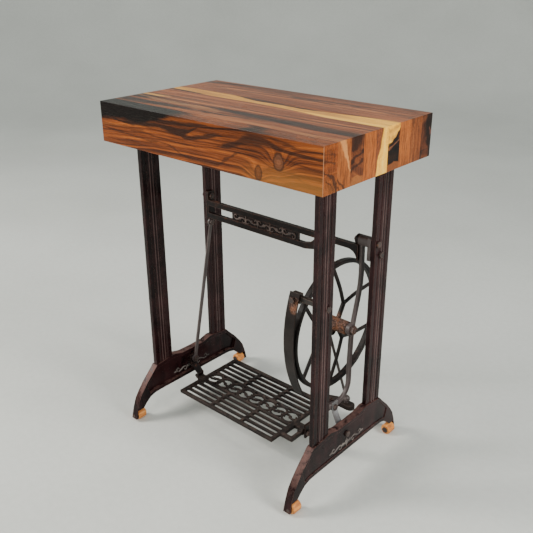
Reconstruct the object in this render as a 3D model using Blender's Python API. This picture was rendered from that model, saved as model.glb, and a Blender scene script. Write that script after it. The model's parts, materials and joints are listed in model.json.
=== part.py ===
"""A small table: a glued hardwood block on the cast-iron stand of a treadle sewing machine.

Frame: +X to the table's right, +Y to its back, +Z up, metres. The origin is on the floor under
the middle of the table. The stand has two cast side frames, a back brace, a flywheel on an arm
at the right, and a rocking treadle that a pitman rod joins to the flywheel's crank.
"""

import math

import bmesh
import bpy
from mathutils import Vector

# ---- clearances -------------------------------------------------------------------------
GAP = 0.0003            # between faces that touch on the real table
BOLT_CLEARANCE = 0.0004  # round a bolt's shank
RUNNING_CLEARANCE = 0.0005  # round a pin that something turns on
CUT_EXTRA = 0.001       # that a cutter goes past the face it cuts
BAR_RELIEF = 0.0004      # of a bar's faces under those of the eyes at its ends

# ---- wooden top -------------------------------------------------------------------------
TOP_LENGTH = 0.630
TOP_DEPTH = 0.367
TOP_THICKNESS = 0.091
STAVE_COUNT = 9
TOP_CHAMFER = 0.0015

# ---- stand ------------------------------------------------------------------------------
STAND_HEIGHT = 0.735     # floor to the underside of the top
FRAME_SPACING = 0.522    # between the two side frames, centre to centre
COLUMN_SPACING = 0.202   # between the front and rear columns, centre to centre
COLUMN_WIDTH = 0.055
COLUMN_THICKNESS = 0.012
COLUMN_EDGE = 0.001      # cut off each corner of a column's section
FLUTE_DEPTH = 0.0022
FLUTE_WIDTH = 0.0045
EDGE_BEAD = 0.0125       # width of the bead along each edge of a column
FLANGE_WIDTH = 0.036
FLANGE_THICKNESS = 0.006
FLANGE_OVERHANG = 0.022  # of the top flange past the columns

# ---- foot beam --------------------------------------------------------------------------
FOOT_OVERHANG = 0.1095   # of the foot's tips past the columns' centres
FOOT_WIDTH = 0.018
FOOT_TOP = 0.136
FOOT_BOTTOM = 0.060
FOOT_BORDER = 0.008
OUTER_RECESS = 0.002
INNER_RECESS = 0.008
FOOT_BOSS_RADIUS = 0.013
FOOT_UPPER = (           # past the columns' centres, and over FOOT_TOP
    (-0.061, 0.0), (-0.035, 0.007), (-0.001, 0.004), (0.029, 0.0), (0.042, -0.014),
    (0.064, -0.036), (0.082, -0.058), (0.094, -0.076), (0.102, -0.098), (0.1075, -0.118),
)
FOOT_LOWER = (           # past the columns' centres, and over FOOT_BOTTOM
    (0.021, 0.0), (0.040, -0.001), (0.057, -0.006), (0.071, -0.017),
)

# ---- rollers ----------------------------------------------------------------------------
ROLLER_RADIUS = 0.0135
ROLLER_LENGTH = 0.026
ROLLER_EDGE = 0.002      # by which a roller's ends are narrower
ROLLER_TAPER = 0.003     # length of that narrowing
ROLLER_OFFSET = 0.003    # of a roller's axis outside the middle of its frame
ROLLER_PIN_RADIUS = 0.004
PIN_HEAD_RADIUS = 0.0075
PIN_HEAD = 0.003
TIP_THICKNESS = 0.0075   # of the lug at each end of a foot
TIP_HEIGHT = 0.008       # of that lug's lower edge over the floor
TIP_COVER = 0.004        # of a foot's underside over a roller
ROLLER_SIDE_GAP = 0.001

# ---- back brace -------------------------------------------------------------------------
BRACE_SET_IN = 0.024     # of the brace's middle before the rear columns' centres
BRACE_DEPTH = 0.010
RAIL_HEIGHT = 0.014
UPPER_RAIL_DROP = 0.200  # of the upper rail's middle under the wooden top
RAIL_SPACING = 0.034
BRACE_BOLT_SET_IN = 0.018  # of the upper bolts before the rear columns' centres
BRACE_BOLT_RISE = 0.010  # from the upper rail's top to the upper bolts
LOW_BOLT_SET_IN = 0.006
LOW_BOLT_DROP = 0.028    # of the lower right bolt under the upper ones
PANEL_LEFT_MARGIN = 0.092   # from the left columns to the panel
PANEL_RIGHT_MARGIN = 0.201  # from the panel to the right columns
PANEL_THICKNESS = 0.005
PANEL_BORDER = 0.004     # of the rails left clear of the panel
RAIL_RISE_MARGIN = 0.135  # from where the lower rail meets the upper one to the right columns
BRACE_LUG = 0.008        # thickness of the brace's end lugs
BRACE_LUG_MARGIN = 0.012  # of a lug round its bolt
BRACE_FLARE = 0.024      # radius under the brace's right end
PAD_RADIUS = 0.0125      # of the brace's round end and of the arm's boss

# ---- flywheel and its arm ---------------------------------------------------------------
AXLE_SET_IN = 0.0485     # of the axle before the rear columns' centres
WHEEL_CLEARANCE = 0.0275  # from the rim's top to the upper rail
WHEEL_RADIUS = 0.158
RIM_WIDTH = 0.016
RIM_DEPTH = 0.010
RIM_EDGE = 0.0015
ARM_INSET = 0.028        # from the right columns' inner face to the arm's middle
ARM_THICKNESS = 0.008
ARM_WIDTH = 0.013
ARM_EYE_RADIUS = 0.0145  # round the axle
ARM_END_RADIUS = 0.010
WHEEL_INSET = 0.040      # from the arm's middle to the rim's middle
HUB_RADIUS = 0.016
HUB_LEFT = 0.017         # from the rim's middle to the hub's left end
STUD_RADIUS = 0.006
STUD_HEAD_RADIUS = 0.0095
STUD_HEAD = 0.004
STUD_TIP = 0.0025        # of the stud past its nut
WASHER = 0.003
WASHER_RADIUS = 0.013
AXLE_NUT = 0.008
AXLE_NUT_RADIUS = 0.011
CRANK_RADIUS = 0.0275
CRANK_ANGLE = -75.0      # degrees from +Y, turning towards +Z
CRANK_PIN_RADIUS = 0.005
CRANK_PIN_GAP = 0.0006   # from the pin's end to the pitman's eye
CRANK_WEB = 0.008
CRANK_WEB_PROUD = 0.002  # of the web past the hub's left end
CRANK_WEB_HALF_WIDTH = 0.0095
CRANK_EYE_RADIUS = 0.0105
SPOKE_COUNT = 3
SPOKE_FIRST = 60.0       # degrees, the first stem
SPOKE_SPREAD = 38.0      # degrees from a stem to each of its two branches at the rim
SPOKE_FORK = 0.050       # radius at which a stem forks
SPOKE_WIDTH = 0.008
SPOKE_THICKNESS = 0.007
STEM_EXTRA = 0.001       # by which a stem is stouter on each side than its branches
BALANCE_ANGLE = -57.0
BALANCE_HALF_ANGLE = 3.2
BALANCE_PROUD = 0.003

# ---- treadle ----------------------------------------------------------------------------
TREADLE_LEFT_MARGIN = 0.037  # from the left foot's inner face to the treadle's left pivot
LOOP_MARGIN = 0.0765     # from the arm's middle to the right end of the pivot loop
LOOP_LENGTH = 0.0355     # from the grille's right end to the loop's
TREADLE_FRONT = -0.093
TREADLE_BACK = 0.118
TREADLE_TOP = 0.062
TREADLE_THICKNESS = 0.009
PIVOT_Y = -0.010
PIVOT_BLOCK = 0.0085     # half the height of the block round each pivot's seat
PIVOT_BLOCK_LENGTH = 0.018
REAR_BAR = 0.012
FRONT_BAR = 0.009
END_BAR = 0.009
CROSS_BAR = 0.008
SLAT = 0.0055
SLOTS_EACH_SIDE = 4
BAND_DEPTH = 0.046       # of the ornament band, without its two rails
RING_COUNT = 8
RING_WALL = 0.006
RING_OVERLAP = 0.0015
LOOP_FRONT = -0.060
LOOP_BACK = 0.008
LOOP_BAR = 0.010
LUG_Y = 0.148
LUG_PAST_BALL = 0.012    # from the ball to the middle of the lug's round end
LUG_RADIUS = 0.0125
LUG_THICKNESS = 0.013
LUG_ROOT = 0.052         # length of the lug's root along the rear bar
CONE_DEPTH = 0.0045
CONE_RADIUS = 0.004
CONE_GAP = 0.0005        # from a screw's point to the bottom of its seat
PIVOT_GAP = 0.004        # from the treadle's end to its bracket

# ---- pitman -----------------------------------------------------------------------------
PITMAN_OFFSET = 0.027    # of the pitman to the left of the rim's middle
PITMAN_ROD_RADIUS = 0.0035
PITMAN_EYE_RADIUS = 0.0115
PITMAN_EYE_THICKNESS = 0.009
BALL_RADIUS = 0.006
BALL_HEIGHT = 0.012      # of the ball's centre over the treadle's lug
BALL_NECK = 0.0026
BALL_SHANK = 0.003
BALL_SHANK_LENGTH = 0.008
BALL_COLLAR = 0.0055
SOCKET_WALL = 0.004
SOCKET_MOUTH = 48.0      # degrees, half the angle that the socket's mouth opens to

# ---- straps, strut and guard ------------------------------------------------------------
STRAP_THICKNESS = 0.0035
STRAP_WIDTH = 0.018
BRACKET_THICKNESS = 0.005
BRACKET_WIDTH = 0.020
STRAP_END = 0.013        # of a strap or bracket past its bolt
PIVOT_END = 0.012        # of a bracket past its pivot
FOOT_BOLT_Y = -0.002
FOOT_BOLT_Z = 0.105
ARM_END_Y = -0.008
ARM_END_Z = 0.166
ARM_BEND = 0.040
STRUT_WIDTH = 0.010
STRUT_THICKNESS = 0.005
STRUT_EYE_RADIUS = 0.0098
STRUT_TOP_DROP = 0.0115  # from the lower rail's underside to the strut's top bolt
GUARD_CLEARANCE = 0.0056  # from the rim to the guard, where they are nearest
GUARD_CENTRE_BACK = 0.1335  # of the guard's arc behind the axle
GUARD_CENTRE_RISE = 0.0225
GUARD_THICKNESS = 0.0035
GUARD_WIDTH = 0.027
GUARD_UP = 21.5          # degrees over the arc's middle
GUARD_DOWN = 30.0        # degrees under it
GUARD_BOLT_DROP = 0.014  # from the guard's top end to its bolt
GUARD_BLOCK = 0.012      # depth of the bracket's block behind the guard
GUARD_BLOCK_HALF = 0.011
GUARD_BLOCK_GAP = 0.0045  # from the guard, which leans, to that block
GUARD_BAR_HALF = 0.0055
GUARD_PLATE = 0.005      # thickness of the bracket's plate on the column
GUARD_PLATE_MARGIN = 0.012
GUARD_OFFSET = 0.0035    # of the guard's middle to the left of the rim's

# ---- fasteners --------------------------------------------------------------------------
BOLT_RADIUS = 0.004
BOLT_HEAD_RADIUS = 0.0078
BOLT_HEAD = 0.0045
BOLT_TIP = 0.0008        # length of the cut at a bolt's end
NUT_THICKNESS = 0.005
NUT_PROUD = 0.003        # of a bolt's end past its nut
TABLE_SCREW_RADIUS = 0.003
TABLE_SCREW_HEAD = 0.004
TABLE_SCREW_GRIP = 0.028

# ---- places that follow from the dimensions ---------------------------------------------
FRAME_X = FRAME_SPACING / 2
COLUMN_IN = FRAME_X - COLUMN_THICKNESS / 2
COLUMN_OUT = FRAME_X + COLUMN_THICKNESS / 2
FOOT_IN = FRAME_X - FOOT_WIDTH / 2
FOOT_OUT = FRAME_X + FOOT_WIDTH / 2
COLUMN_Y = COLUMN_SPACING / 2
FOOT_HALF_DEPTH = COLUMN_Y + FOOT_OVERHANG
FRAME_TOP = STAND_HEIGHT - GAP
ROLLER_X = FRAME_X + ROLLER_OFFSET
ROLLER_Y = FOOT_HALF_DEPTH - TIP_THICKNESS - ROLLER_SIDE_GAP - ROLLER_LENGTH / 2
UPPER_RAIL_Z = STAND_HEIGHT - UPPER_RAIL_DROP
LOWER_RAIL_Z = UPPER_RAIL_Z - RAIL_SPACING
BRACE_Y = COLUMN_Y - BRACE_SET_IN
BRACE_BOLT_Y = COLUMN_Y - BRACE_BOLT_SET_IN
BRACE_BOLT_Z = UPPER_RAIL_Z + RAIL_HEIGHT / 2 + BRACE_BOLT_RISE
BRACE_LOW_BOLT_Y = COLUMN_Y - LOW_BOLT_SET_IN
BRACE_LOW_BOLT_Z = BRACE_BOLT_Z - LOW_BOLT_DROP
STRUT_TOP_Y = BRACE_Y - GAP
STRUT_TOP_Z = LOWER_RAIL_Z - RAIL_HEIGHT / 2 - STRUT_TOP_DROP
ARM_X = COLUMN_IN - ARM_INSET
WHEEL_X = ARM_X - WHEEL_INSET
AXLE_Y = COLUMN_Y - AXLE_SET_IN
AXLE_Z = UPPER_RAIL_Z - RAIL_HEIGHT / 2 - WHEEL_CLEARANCE - WHEEL_RADIUS
HUB_START = WHEEL_X - HUB_LEFT
HUB_END = ARM_X - ARM_THICKNESS / 2 - WASHER - 2 * GAP
CRANK_FACE = HUB_START - CRANK_WEB_PROUD
CRANK_Y = AXLE_Y + CRANK_RADIUS * math.cos(math.radians(CRANK_ANGLE))
CRANK_Z = AXLE_Z + CRANK_RADIUS * math.sin(math.radians(CRANK_ANGLE))
TREADLE_LEFT = TREADLE_LEFT_MARGIN - FOOT_IN
LOOP_RIGHT = ARM_X - LOOP_MARGIN
TREADLE_RIGHT = LOOP_RIGHT - LOOP_LENGTH
PIVOT_Z = TREADLE_TOP - TREADLE_THICKNESS / 2
PITMAN_X = WHEEL_X - PITMAN_OFFSET
LUG_TOP = PIVOT_Z + LUG_THICKNESS / 2
BALL_Z = LUG_TOP + BALL_HEIGHT
GUARD_X = WHEEL_X - GUARD_OFFSET
GUARD_CENTRE_Y = AXLE_Y + GUARD_CENTRE_BACK
GUARD_CENTRE_Z = AXLE_Z + GUARD_CENTRE_RISE
GUARD_ARC_RADIUS = (WHEEL_RADIUS + GUARD_CLEARANCE + GUARD_THICKNESS
                    + math.hypot(GUARD_CENTRE_BACK, GUARD_CENTRE_RISE))
GUARD_BOLT_Z = (GUARD_CENTRE_Z + GUARD_ARC_RADIUS * math.sin(math.radians(GUARD_UP))
                - GUARD_BOLT_DROP)
GUARD_BOLT_Y = GUARD_CENTRE_Y - math.sqrt(
    GUARD_ARC_RADIUS ** 2 - (GUARD_BOLT_Z - GUARD_CENTRE_Z) ** 2)
GUARD_MOUNT_Y = -COLUMN_Y + COLUMN_WIDTH / 5

AXES = {"X": 0, "Y": 1, "Z": 2}


# ---- scene and materials ----------------------------------------------------------------
def clear_scene():
    for obj in list(bpy.data.objects):
        bpy.data.objects.remove(obj, do_unlink=True)


def material(name, colour, roughness, metallic):
    made = bpy.data.materials.new(name)
    made.use_nodes = True
    shader = made.node_tree.nodes["Principled BSDF"]
    shader.inputs["Base Color"].default_value = (*colour, 1.0)
    shader.inputs["Roughness"].default_value = roughness
    shader.inputs["Metallic"].default_value = metallic
    return made


# ---- modelling helpers ------------------------------------------------------------------
def add_mesh(name, bm, look, smooth=30.0):
    """Makes an object of a bmesh, with outward faces and smooth shading on its round parts."""
    bmesh.ops.recalc_face_normals(bm, faces=bm.faces)
    mesh = bpy.data.meshes.new(name)
    bm.to_mesh(mesh)
    bm.free()
    mesh.shade_smooth()
    mesh.set_sharp_from_angle(angle=math.radians(smooth))
    obj = bpy.data.objects.new(name, mesh)
    bpy.context.scene.collection.objects.link(obj)
    obj.data.materials.append(look)
    return obj


def placed(axis, a, b, along):
    """The point with the two plane coordinates a and b, and the third one along the axis."""
    if axis == "X":
        return Vector((along, a, b))
    if axis == "Y":
        return Vector((a, along, b))
    return Vector((a, b, along))


def prism(name, outline, axis, low, high, look):
    """A plate: the outline in the plane across the axis, from low to high along it."""
    bm = bmesh.new()
    bottom = [bm.verts.new(placed(axis, a, b, low)) for a, b in outline]
    top = [bm.verts.new(placed(axis, a, b, high)) for a, b in outline]
    bm.faces.new(bottom)
    bm.faces.new(list(reversed(top)))
    for i in range(len(outline)):
        j = (i + 1) % len(outline)
        bm.faces.new((bottom[i], bottom[j], top[j], top[i]))
    return add_mesh(name, bm, look)


def box(name, low, high, look):
    corners = [(low[0], low[1]), (high[0], low[1]), (high[0], high[1]), (low[0], high[1])]
    return prism(name, corners, "Z", low[2], high[2], look)


def turned(name, profile, axis, a, b, look, segments=20, ring=False):
    """A turned piece round the axis through a, b. The profile is radius and place along the
    axis. It starts and ends on the axis, or is a closed ring. One edge of it lies straight
    below the axis where the axis is level."""
    bm = bmesh.new()
    rows = []
    for radius, along in profile:
        if radius < 1e-6:
            rows.append([bm.verts.new(placed(axis, a, b, along))])
            continue
        row = []
        for k in range(segments):
            turn = 2 * math.pi * k / segments
            at = placed(axis, a + radius * math.cos(turn), b + radius * math.sin(turn), along)
            row.append(bm.verts.new(at))
        rows.append(row)
    pairs = list(zip(rows, rows[1:]))
    if ring:
        pairs.append((rows[-1], rows[0]))
    for first, second in pairs:
        for k in range(segments):
            n = (k + 1) % segments
            corners = [first[k % len(first)], first[n % len(first)]]
            corners += [second[n % len(second)], second[k % len(second)]]
            unique = list(dict.fromkeys(corners))
            bm.faces.new(unique)
    return add_mesh(name, bm, look)


def rod(name, axis, a, b, low, high, radius, look, segments=20):
    profile = [(0, low), (radius, low), (radius, high), (0, high)]
    return turned(name, profile, axis, a, b, look, segments)


def tube(name, axis, a, b, low, high, radius, bore, look, segments=20):
    profile = [(bore, low), (radius, low), (radius, high), (bore, high)]
    return turned(name, profile, axis, a, b, look, segments, ring=True)


def swept(name, path, across, half_width, half_thickness, look):
    """A flat bar along a path in the plane across the given axis. Its width runs along that
    axis and its thickness lies in the plane. The corners of its section are cut."""
    k = AXES[across]
    cut = 0.25 * min(half_width, half_thickness)
    w, t = half_width, half_thickness
    section = [(w - cut, t), (w, t - cut), (w, cut - t), (w - cut, -t)]
    section += [(cut - w, -t), (-w, cut - t), (-w, t - cut), (cut - w, t)]
    points = [Vector(p) for p in path]
    side = Vector([1.0 if i == k else 0.0 for i in range(3)])
    bm = bmesh.new()
    rings = []
    for i, point in enumerate(points):
        before = (point - points[i - 1]).normalized() if i else None
        after = (points[i + 1] - point).normalized() if i + 1 < len(points) else None
        tangent = ((before or after) + (after or before)).normalized()
        stretch = 1.0 / max(0.5, tangent.dot(before or after))
        out = tangent.cross(side).normalized() * stretch
        rings.append([bm.verts.new(point + side * u + out * v) for u, v in section])
    for first, second in zip(rings, rings[1:]):
        for i in range(len(section)):
            j = (i + 1) % len(section)
            bm.faces.new((first[i], first[j], second[j], second[i]))
    bm.faces.new(rings[0])
    bm.faces.new(list(reversed(rings[-1])))
    return add_mesh(name, bm, look)


def smooth_path(points, steps=6):
    """Points on a Catmull-Rom curve through the given ones."""
    pts = [Vector(p) for p in points]
    pts = [2 * pts[0] - pts[1]] + pts + [2 * pts[-1] - pts[-2]]
    path = []
    for p0, p1, p2, p3 in zip(pts, pts[1:], pts[2:], pts[3:]):
        for s in range(steps):
            t = s / steps
            a = 2 * p1 + (p2 - p0) * t
            b = (2 * p0 - 5 * p1 + 4 * p2 - p3) * t * t
            c = (3 * p1 - p0 - 3 * p2 + p3) * t * t * t
            path.append((a + b + c) / 2)
    return path + [pts[-2]]


def arc(cx, cy, radius, start, end, steps):
    """Points on an arc, angles in degrees."""
    turns = [math.radians(start + (end - start) * i / steps) for i in range(steps + 1)]
    return [(cx + radius * math.cos(t), cy + radius * math.sin(t)) for t in turns]


def helper(obj):
    obj.hide_render = True
    obj.display_type = "WIRE"
    return obj


def join(target, pieces):
    for i, piece in enumerate(pieces):
        modifier = target.modifiers.new(f"join_{piece.name}_{i}", "BOOLEAN")
        modifier.operation = "UNION"
        modifier.object = helper(piece)
    return target


def cut(target, cutters):
    for i, cutter in enumerate(cutters):
        modifier = target.modifiers.new(f"cut_{cutter.name}_{i}", "BOOLEAN")
        modifier.operation = "DIFFERENCE"
        modifier.object = helper(cutter)
    return target


def drill(target, axis, a, b, low, high, radius, look):
    """A round hole right through what lies between low and high."""
    name = f"hole_{target.name}_{len(target.modifiers)}"
    return cut(target, [rod(name, axis, a, b, low - CUT_EXTRA, high + CUT_EXTRA,
                            radius, look, 16)])


def origin_to(obj, point):
    """Puts the object's origin on its joint's axis, leaving its shape where it is."""
    at = Vector(point)
    for vertex in obj.data.vertices:
        vertex.co -= at
    obj.location = at
    return obj


def hexagon_ring(bm, axis, a, b, along, radius, count):
    ring = []
    for k in range(count):
        turn = 2 * math.pi * k / count
        at = placed(axis, a + radius * math.cos(turn), b + radius * math.sin(turn), along)
        ring.append(bm.verts.new(at))
    return ring


def ring_walls(bm, first, second):
    for k in range(len(first)):
        n = (k + 1) % len(first)
        bm.faces.new((first[k], first[n], second[n], second[k]))


def hexagon_to_circle(bm, six, twelve):
    """The flat face between a six-cornered ring and a twelve-cornered one inside it."""
    for k in range(6):
        n = (k + 1) % 6
        bm.faces.new((six[k], twelve[2 * k], twelve[2 * k + 1]))
        bm.faces.new((six[k], twelve[2 * k + 1], six[n]))
        bm.faces.new((six[n], twelve[2 * k + 1], twelve[(2 * k + 2) % 12]))


def bolt(name, axis, a, b, seat, direction, head, head_radius, radius, length, look):
    """A hexagon bolt. Its head sits on seat and its shank runs the way of direction."""
    bm = bmesh.new()
    top = hexagon_ring(bm, axis, a, b, seat - direction * head, head_radius * 0.93, 6)
    shoulder = hexagon_ring(bm, axis, a, b, seat - direction * head * 0.8, head_radius, 6)
    under = hexagon_ring(bm, axis, a, b, seat, head_radius, 6)
    neck = hexagon_ring(bm, axis, a, b, seat, radius, 12)
    end = hexagon_ring(bm, axis, a, b, seat + direction * (length - BOLT_TIP), radius, 12)
    tip = hexagon_ring(bm, axis, a, b, seat + direction * length, radius * 0.8, 12)
    bm.faces.new(top)
    ring_walls(bm, top, shoulder)
    ring_walls(bm, shoulder, under)
    hexagon_to_circle(bm, under, neck)
    ring_walls(bm, neck, end)
    ring_walls(bm, end, tip)
    bm.faces.new(tip)
    return add_mesh(name, bm, look)


def nut(name, axis, a, b, low, high, radius, bore, look):
    bm = bmesh.new()
    rings = []
    for along in (low, high):
        six = hexagon_ring(bm, axis, a, b, along, radius, 6)
        twelve = hexagon_ring(bm, axis, a, b, along, bore, 12)
        hexagon_to_circle(bm, six, twelve)
        rings.append((six, twelve))
    ring_walls(bm, rings[0][0], rings[1][0])
    ring_walls(bm, rings[0][1], rings[1][1])
    return add_mesh(name, bm, look)


# ---- wooden top -------------------------------------------------------------------------
def stave_width():
    return TOP_DEPTH / STAVE_COUNT


def make_top(look):
    """Glued staves, each a square stick as long as the top."""
    width = stave_width()
    c = TOP_CHAMFER
    low, high = STAND_HEIGHT, STAND_HEIGHT + TOP_THICKNESS
    for i in range(STAVE_COUNT):
        front = -TOP_DEPTH / 2 + i * width + (GAP / 2 if i else 0)
        back = -TOP_DEPTH / 2 + (i + 1) * width - (GAP / 2 if i < STAVE_COUNT - 1 else 0)
        front_cut = c if i == 0 else 0
        back_cut = c if i == STAVE_COUNT - 1 else 0
        outline = [(front + front_cut, low), (back - back_cut, low)]
        if back_cut:
            outline.append((back, low + back_cut))
            outline.append((back, high - back_cut))
        outline += [(back - back_cut, high), (front + front_cut, high)]
        if front_cut:
            outline.append((front, high - front_cut))
            outline.append((front, low + front_cut))
        stave = prism(f"top_stave_{i + 1}", outline, "X", -TOP_LENGTH / 2, TOP_LENGTH / 2, look)
        for y in (-width, width):
            if front < y < back:
                for x in (-FRAME_X, FRAME_X):
                    radius = TABLE_SCREW_RADIUS + BOLT_CLEARANCE
                    top = STAND_HEIGHT + TABLE_SCREW_GRIP + CUT_EXTRA
                    drill(stave, "Z", x, y, STAND_HEIGHT, top, radius, look)


def make_table_screws(look):
    under = FRAME_TOP - FLANGE_THICKNESS - GAP
    length = STAND_HEIGHT + TABLE_SCREW_GRIP - under
    for side, x in (("left", -FRAME_X), ("right", FRAME_X)):
        for end, y in (("front", -stave_width()), ("rear", stave_width())):
            bolt(f"table_screw_{end}_{side}", "Z", x, y, under, 1, TABLE_SCREW_HEAD,
                 2 * TABLE_SCREW_RADIUS, TABLE_SCREW_RADIUS, length, look)


# ---- side frames ------------------------------------------------------------------------
def column_section(centre_x, centre_y):
    """Half outlines of both faces: an edge bead, a flute, a wide middle band, and again."""
    w, t = COLUMN_WIDTH / 2, COLUMN_THICKNESS / 2
    inner = w - EDGE_BEAD
    d = FLUTE_DEPTH
    f = FLUTE_WIDTH
    e = COLUMN_EDGE
    face = [(-w, t - e), (-w + e, t), (-inner, t), (-inner + f / 2, t - d)]
    face += [(-inner + f, t), (inner - f, t), (inner - f / 2, t - d), (inner, t)]
    face += [(w - e, t), (w, t - e)]
    other = [(y, -x) for y, x in reversed(face)]
    return [(centre_x + x, centre_y + y) for y, x in face + other]


def foot_top(y):
    """Height of the foot beam's upper edge, the same to the front and to the back."""
    shape = [(0.0, FOOT_TOP - COLUMN_EDGE)]
    shape += [(COLUMN_Y + past, FOOT_TOP + over) for past, over in FOOT_UPPER]
    return interpolate(shape, abs(y))


def foot_bottom(y):
    shape = [(0.0, FOOT_BOTTOM)]
    shape += [(COLUMN_Y + past, FOOT_BOTTOM + over) for past, over in FOOT_LOWER]
    over_roller = 2 * ROLLER_RADIUS + TIP_COVER
    shape += [(ROLLER_Y - ROLLER_LENGTH / 5, over_roller), (FOOT_HALF_DEPTH, over_roller)]
    return interpolate(shape, abs(y))


def interpolate(shape, at):
    for (a, low), (b, high) in zip(shape, shape[1:]):
        if at <= b:
            return low + (high - low) * (at - a) / max(1e-9, b - a)
    return shape[-1][1]


def foot_outline():
    tip_in = FOOT_HALF_DEPTH - TIP_THICKNESS
    upper = [0.0] + [COLUMN_Y + past for past, _ in FOOT_UPPER]
    lower = [COLUMN_Y + past for past, _ in FOOT_LOWER] + [ROLLER_Y - ROLLER_LENGTH / 5]
    half = [(y, foot_top(y)) for y in upper]
    half += [(FOOT_HALF_DEPTH, TIP_HEIGHT), (tip_in, TIP_HEIGHT)]
    half += [(tip_in, foot_bottom(tip_in))]
    half += [(y, foot_bottom(y)) for y in reversed(lower)]
    return half + [(-y, z) for y, z in reversed(half[1:])]


def foot_pocket():
    """The recess of the foot's web, one border inside its edges."""
    b = FOOT_BORDER
    upper = [COLUMN_Y + past for past, _ in FOOT_UPPER[:6]]
    lower = [COLUMN_Y + past for past, _ in FOOT_LOWER[:3]]
    half = [(0.0, foot_top(0.0) - b)] + [(y, foot_top(y) - b * 1.25) for y in upper]
    tip = COLUMN_Y + FOOT_LOWER[2][0] + b
    half += [(tip, foot_top(tip) - b * 1.6)]
    half += [(y, foot_bottom(y) + b * 1.1) for y in reversed(lower)]
    half += [(0.0, FOOT_BOTTOM + b)]
    return half + [(-y, z) for y, z in reversed(half[1:-1])]


def make_side_frame(side, sign, look):
    name = f"side_frame_{side}"
    outer = sorted((sign * FOOT_IN, sign * FOOT_OUT))
    frame = prism(name, foot_outline(), "X", outer[0], outer[1], look)
    extra = 3 * CUT_EXTRA
    out_cut = sorted((sign * (FOOT_OUT - OUTER_RECESS), sign * (FOOT_OUT + extra)))
    in_cut = sorted((sign * (FOOT_IN - extra), sign * (FOOT_IN + INNER_RECESS)))
    cut(frame, [
        prism(f"outer_recess_{side}", foot_pocket(), "X", out_cut[0], out_cut[1], look),
        prism(f"inner_recess_{side}", foot_pocket(), "X", in_cut[0], in_cut[1], look),
    ])
    pieces = []
    for end, y in (("front", -COLUMN_Y), ("rear", COLUMN_Y)):
        section = column_section(sign * FRAME_X, y)
        bottom = foot_top(y) - 0.6 * FOOT_BORDER
        pieces.append(prism(f"column_{end}_{side}", section, "Z", bottom,
                            FRAME_TOP - FLANGE_THICKNESS / 3, look))
    flange_y = COLUMN_Y + COLUMN_WIDTH / 2 + FLANGE_OVERHANG
    flange_low = (sign * FRAME_X - FLANGE_WIDTH / 2, -flange_y, FRAME_TOP - FLANGE_THICKNESS)
    flange_high = (sign * FRAME_X + FLANGE_WIDTH / 2, flange_y, FRAME_TOP)
    pieces.append(box(f"flange_{side}", flange_low, flange_high, look))
    boss = sorted((sign * FOOT_IN, sign * (FOOT_IN + INNER_RECESS + CUT_EXTRA)))
    pieces.append(rod(f"boss_{side}", "X", FOOT_BOLT_Y, FOOT_BOLT_Z, boss[0], boss[1],
                      FOOT_BOSS_RADIUS, look))
    join(frame, pieces)
    for y in (-stave_width(), stave_width()):
        drill(frame, "Z", sign * FRAME_X, y, FRAME_TOP - FLANGE_THICKNESS, FRAME_TOP,
              TABLE_SCREW_RADIUS + BOLT_CLEARANCE, look)
    radius = BOLT_RADIUS + BOLT_CLEARANCE
    web = sorted((sign * FOOT_IN, sign * FOOT_OUT))
    drill(frame, "X", FOOT_BOLT_Y, FOOT_BOLT_Z, web[0], web[1], radius, look)
    wall = sorted((sign * COLUMN_IN, sign * COLUMN_OUT))
    drill(frame, "X", BRACE_BOLT_Y, BRACE_BOLT_Z, wall[0], wall[1], radius, look)
    if side == "right":
        drill(frame, "X", BRACE_LOW_BOLT_Y, BRACE_LOW_BOLT_Z, wall[0], wall[1], radius, look)
        drill(frame, "X", GUARD_MOUNT_Y, GUARD_BOLT_Z, wall[0], wall[1], radius, look)
    for end in (-1, 1):
        tip = sorted((end * (FOOT_HALF_DEPTH - TIP_THICKNESS), end * FOOT_HALF_DEPTH))
        drill(frame, "Y", sign * ROLLER_X, ROLLER_RADIUS, tip[0], tip[1],
              ROLLER_PIN_RADIUS + BOLT_CLEARANCE, look)
    return frame


# ---- rollers ----------------------------------------------------------------------------
def make_rollers(wood, iron):
    """A wooden roller on an iron pin at each foot. A roller turns on its pin."""
    r, half = ROLLER_RADIUS, ROLLER_LENGTH / 2
    bore = ROLLER_PIN_RADIUS + RUNNING_CLEARANCE
    for side, x in (("left", -ROLLER_X), ("right", ROLLER_X)):
        for end, sign in (("front", -1), ("rear", 1)):
            y = sign * ROLLER_Y
            profile = [(bore, y - half), (r - ROLLER_EDGE, y - half)]
            profile += [(r, y - half + ROLLER_TAPER), (r, y + half - ROLLER_TAPER)]
            profile += [(r - ROLLER_EDGE, y + half), (bore, y + half)]
            roller = turned(f"roller_{end}_{side}", profile, "Y", x, r, wood, 24, ring=True)
            origin_to(roller, (x, y, r))
            inner = y - sign * (half + ROLLER_SIDE_GAP)
            outer = sign * (FOOT_HALF_DEPTH - 2 * GAP)
            pin = [(0, inner - sign * PIN_HEAD), (PIN_HEAD_RADIUS, inner - sign * PIN_HEAD / 2)]
            pin += [(PIN_HEAD_RADIUS, inner)]
            pin += [(ROLLER_PIN_RADIUS, inner), (ROLLER_PIN_RADIUS, outer), (0, outer)]
            turned(f"roller_pin_{end}_{side}", pin, "Y", x, r, iron, 20)


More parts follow.
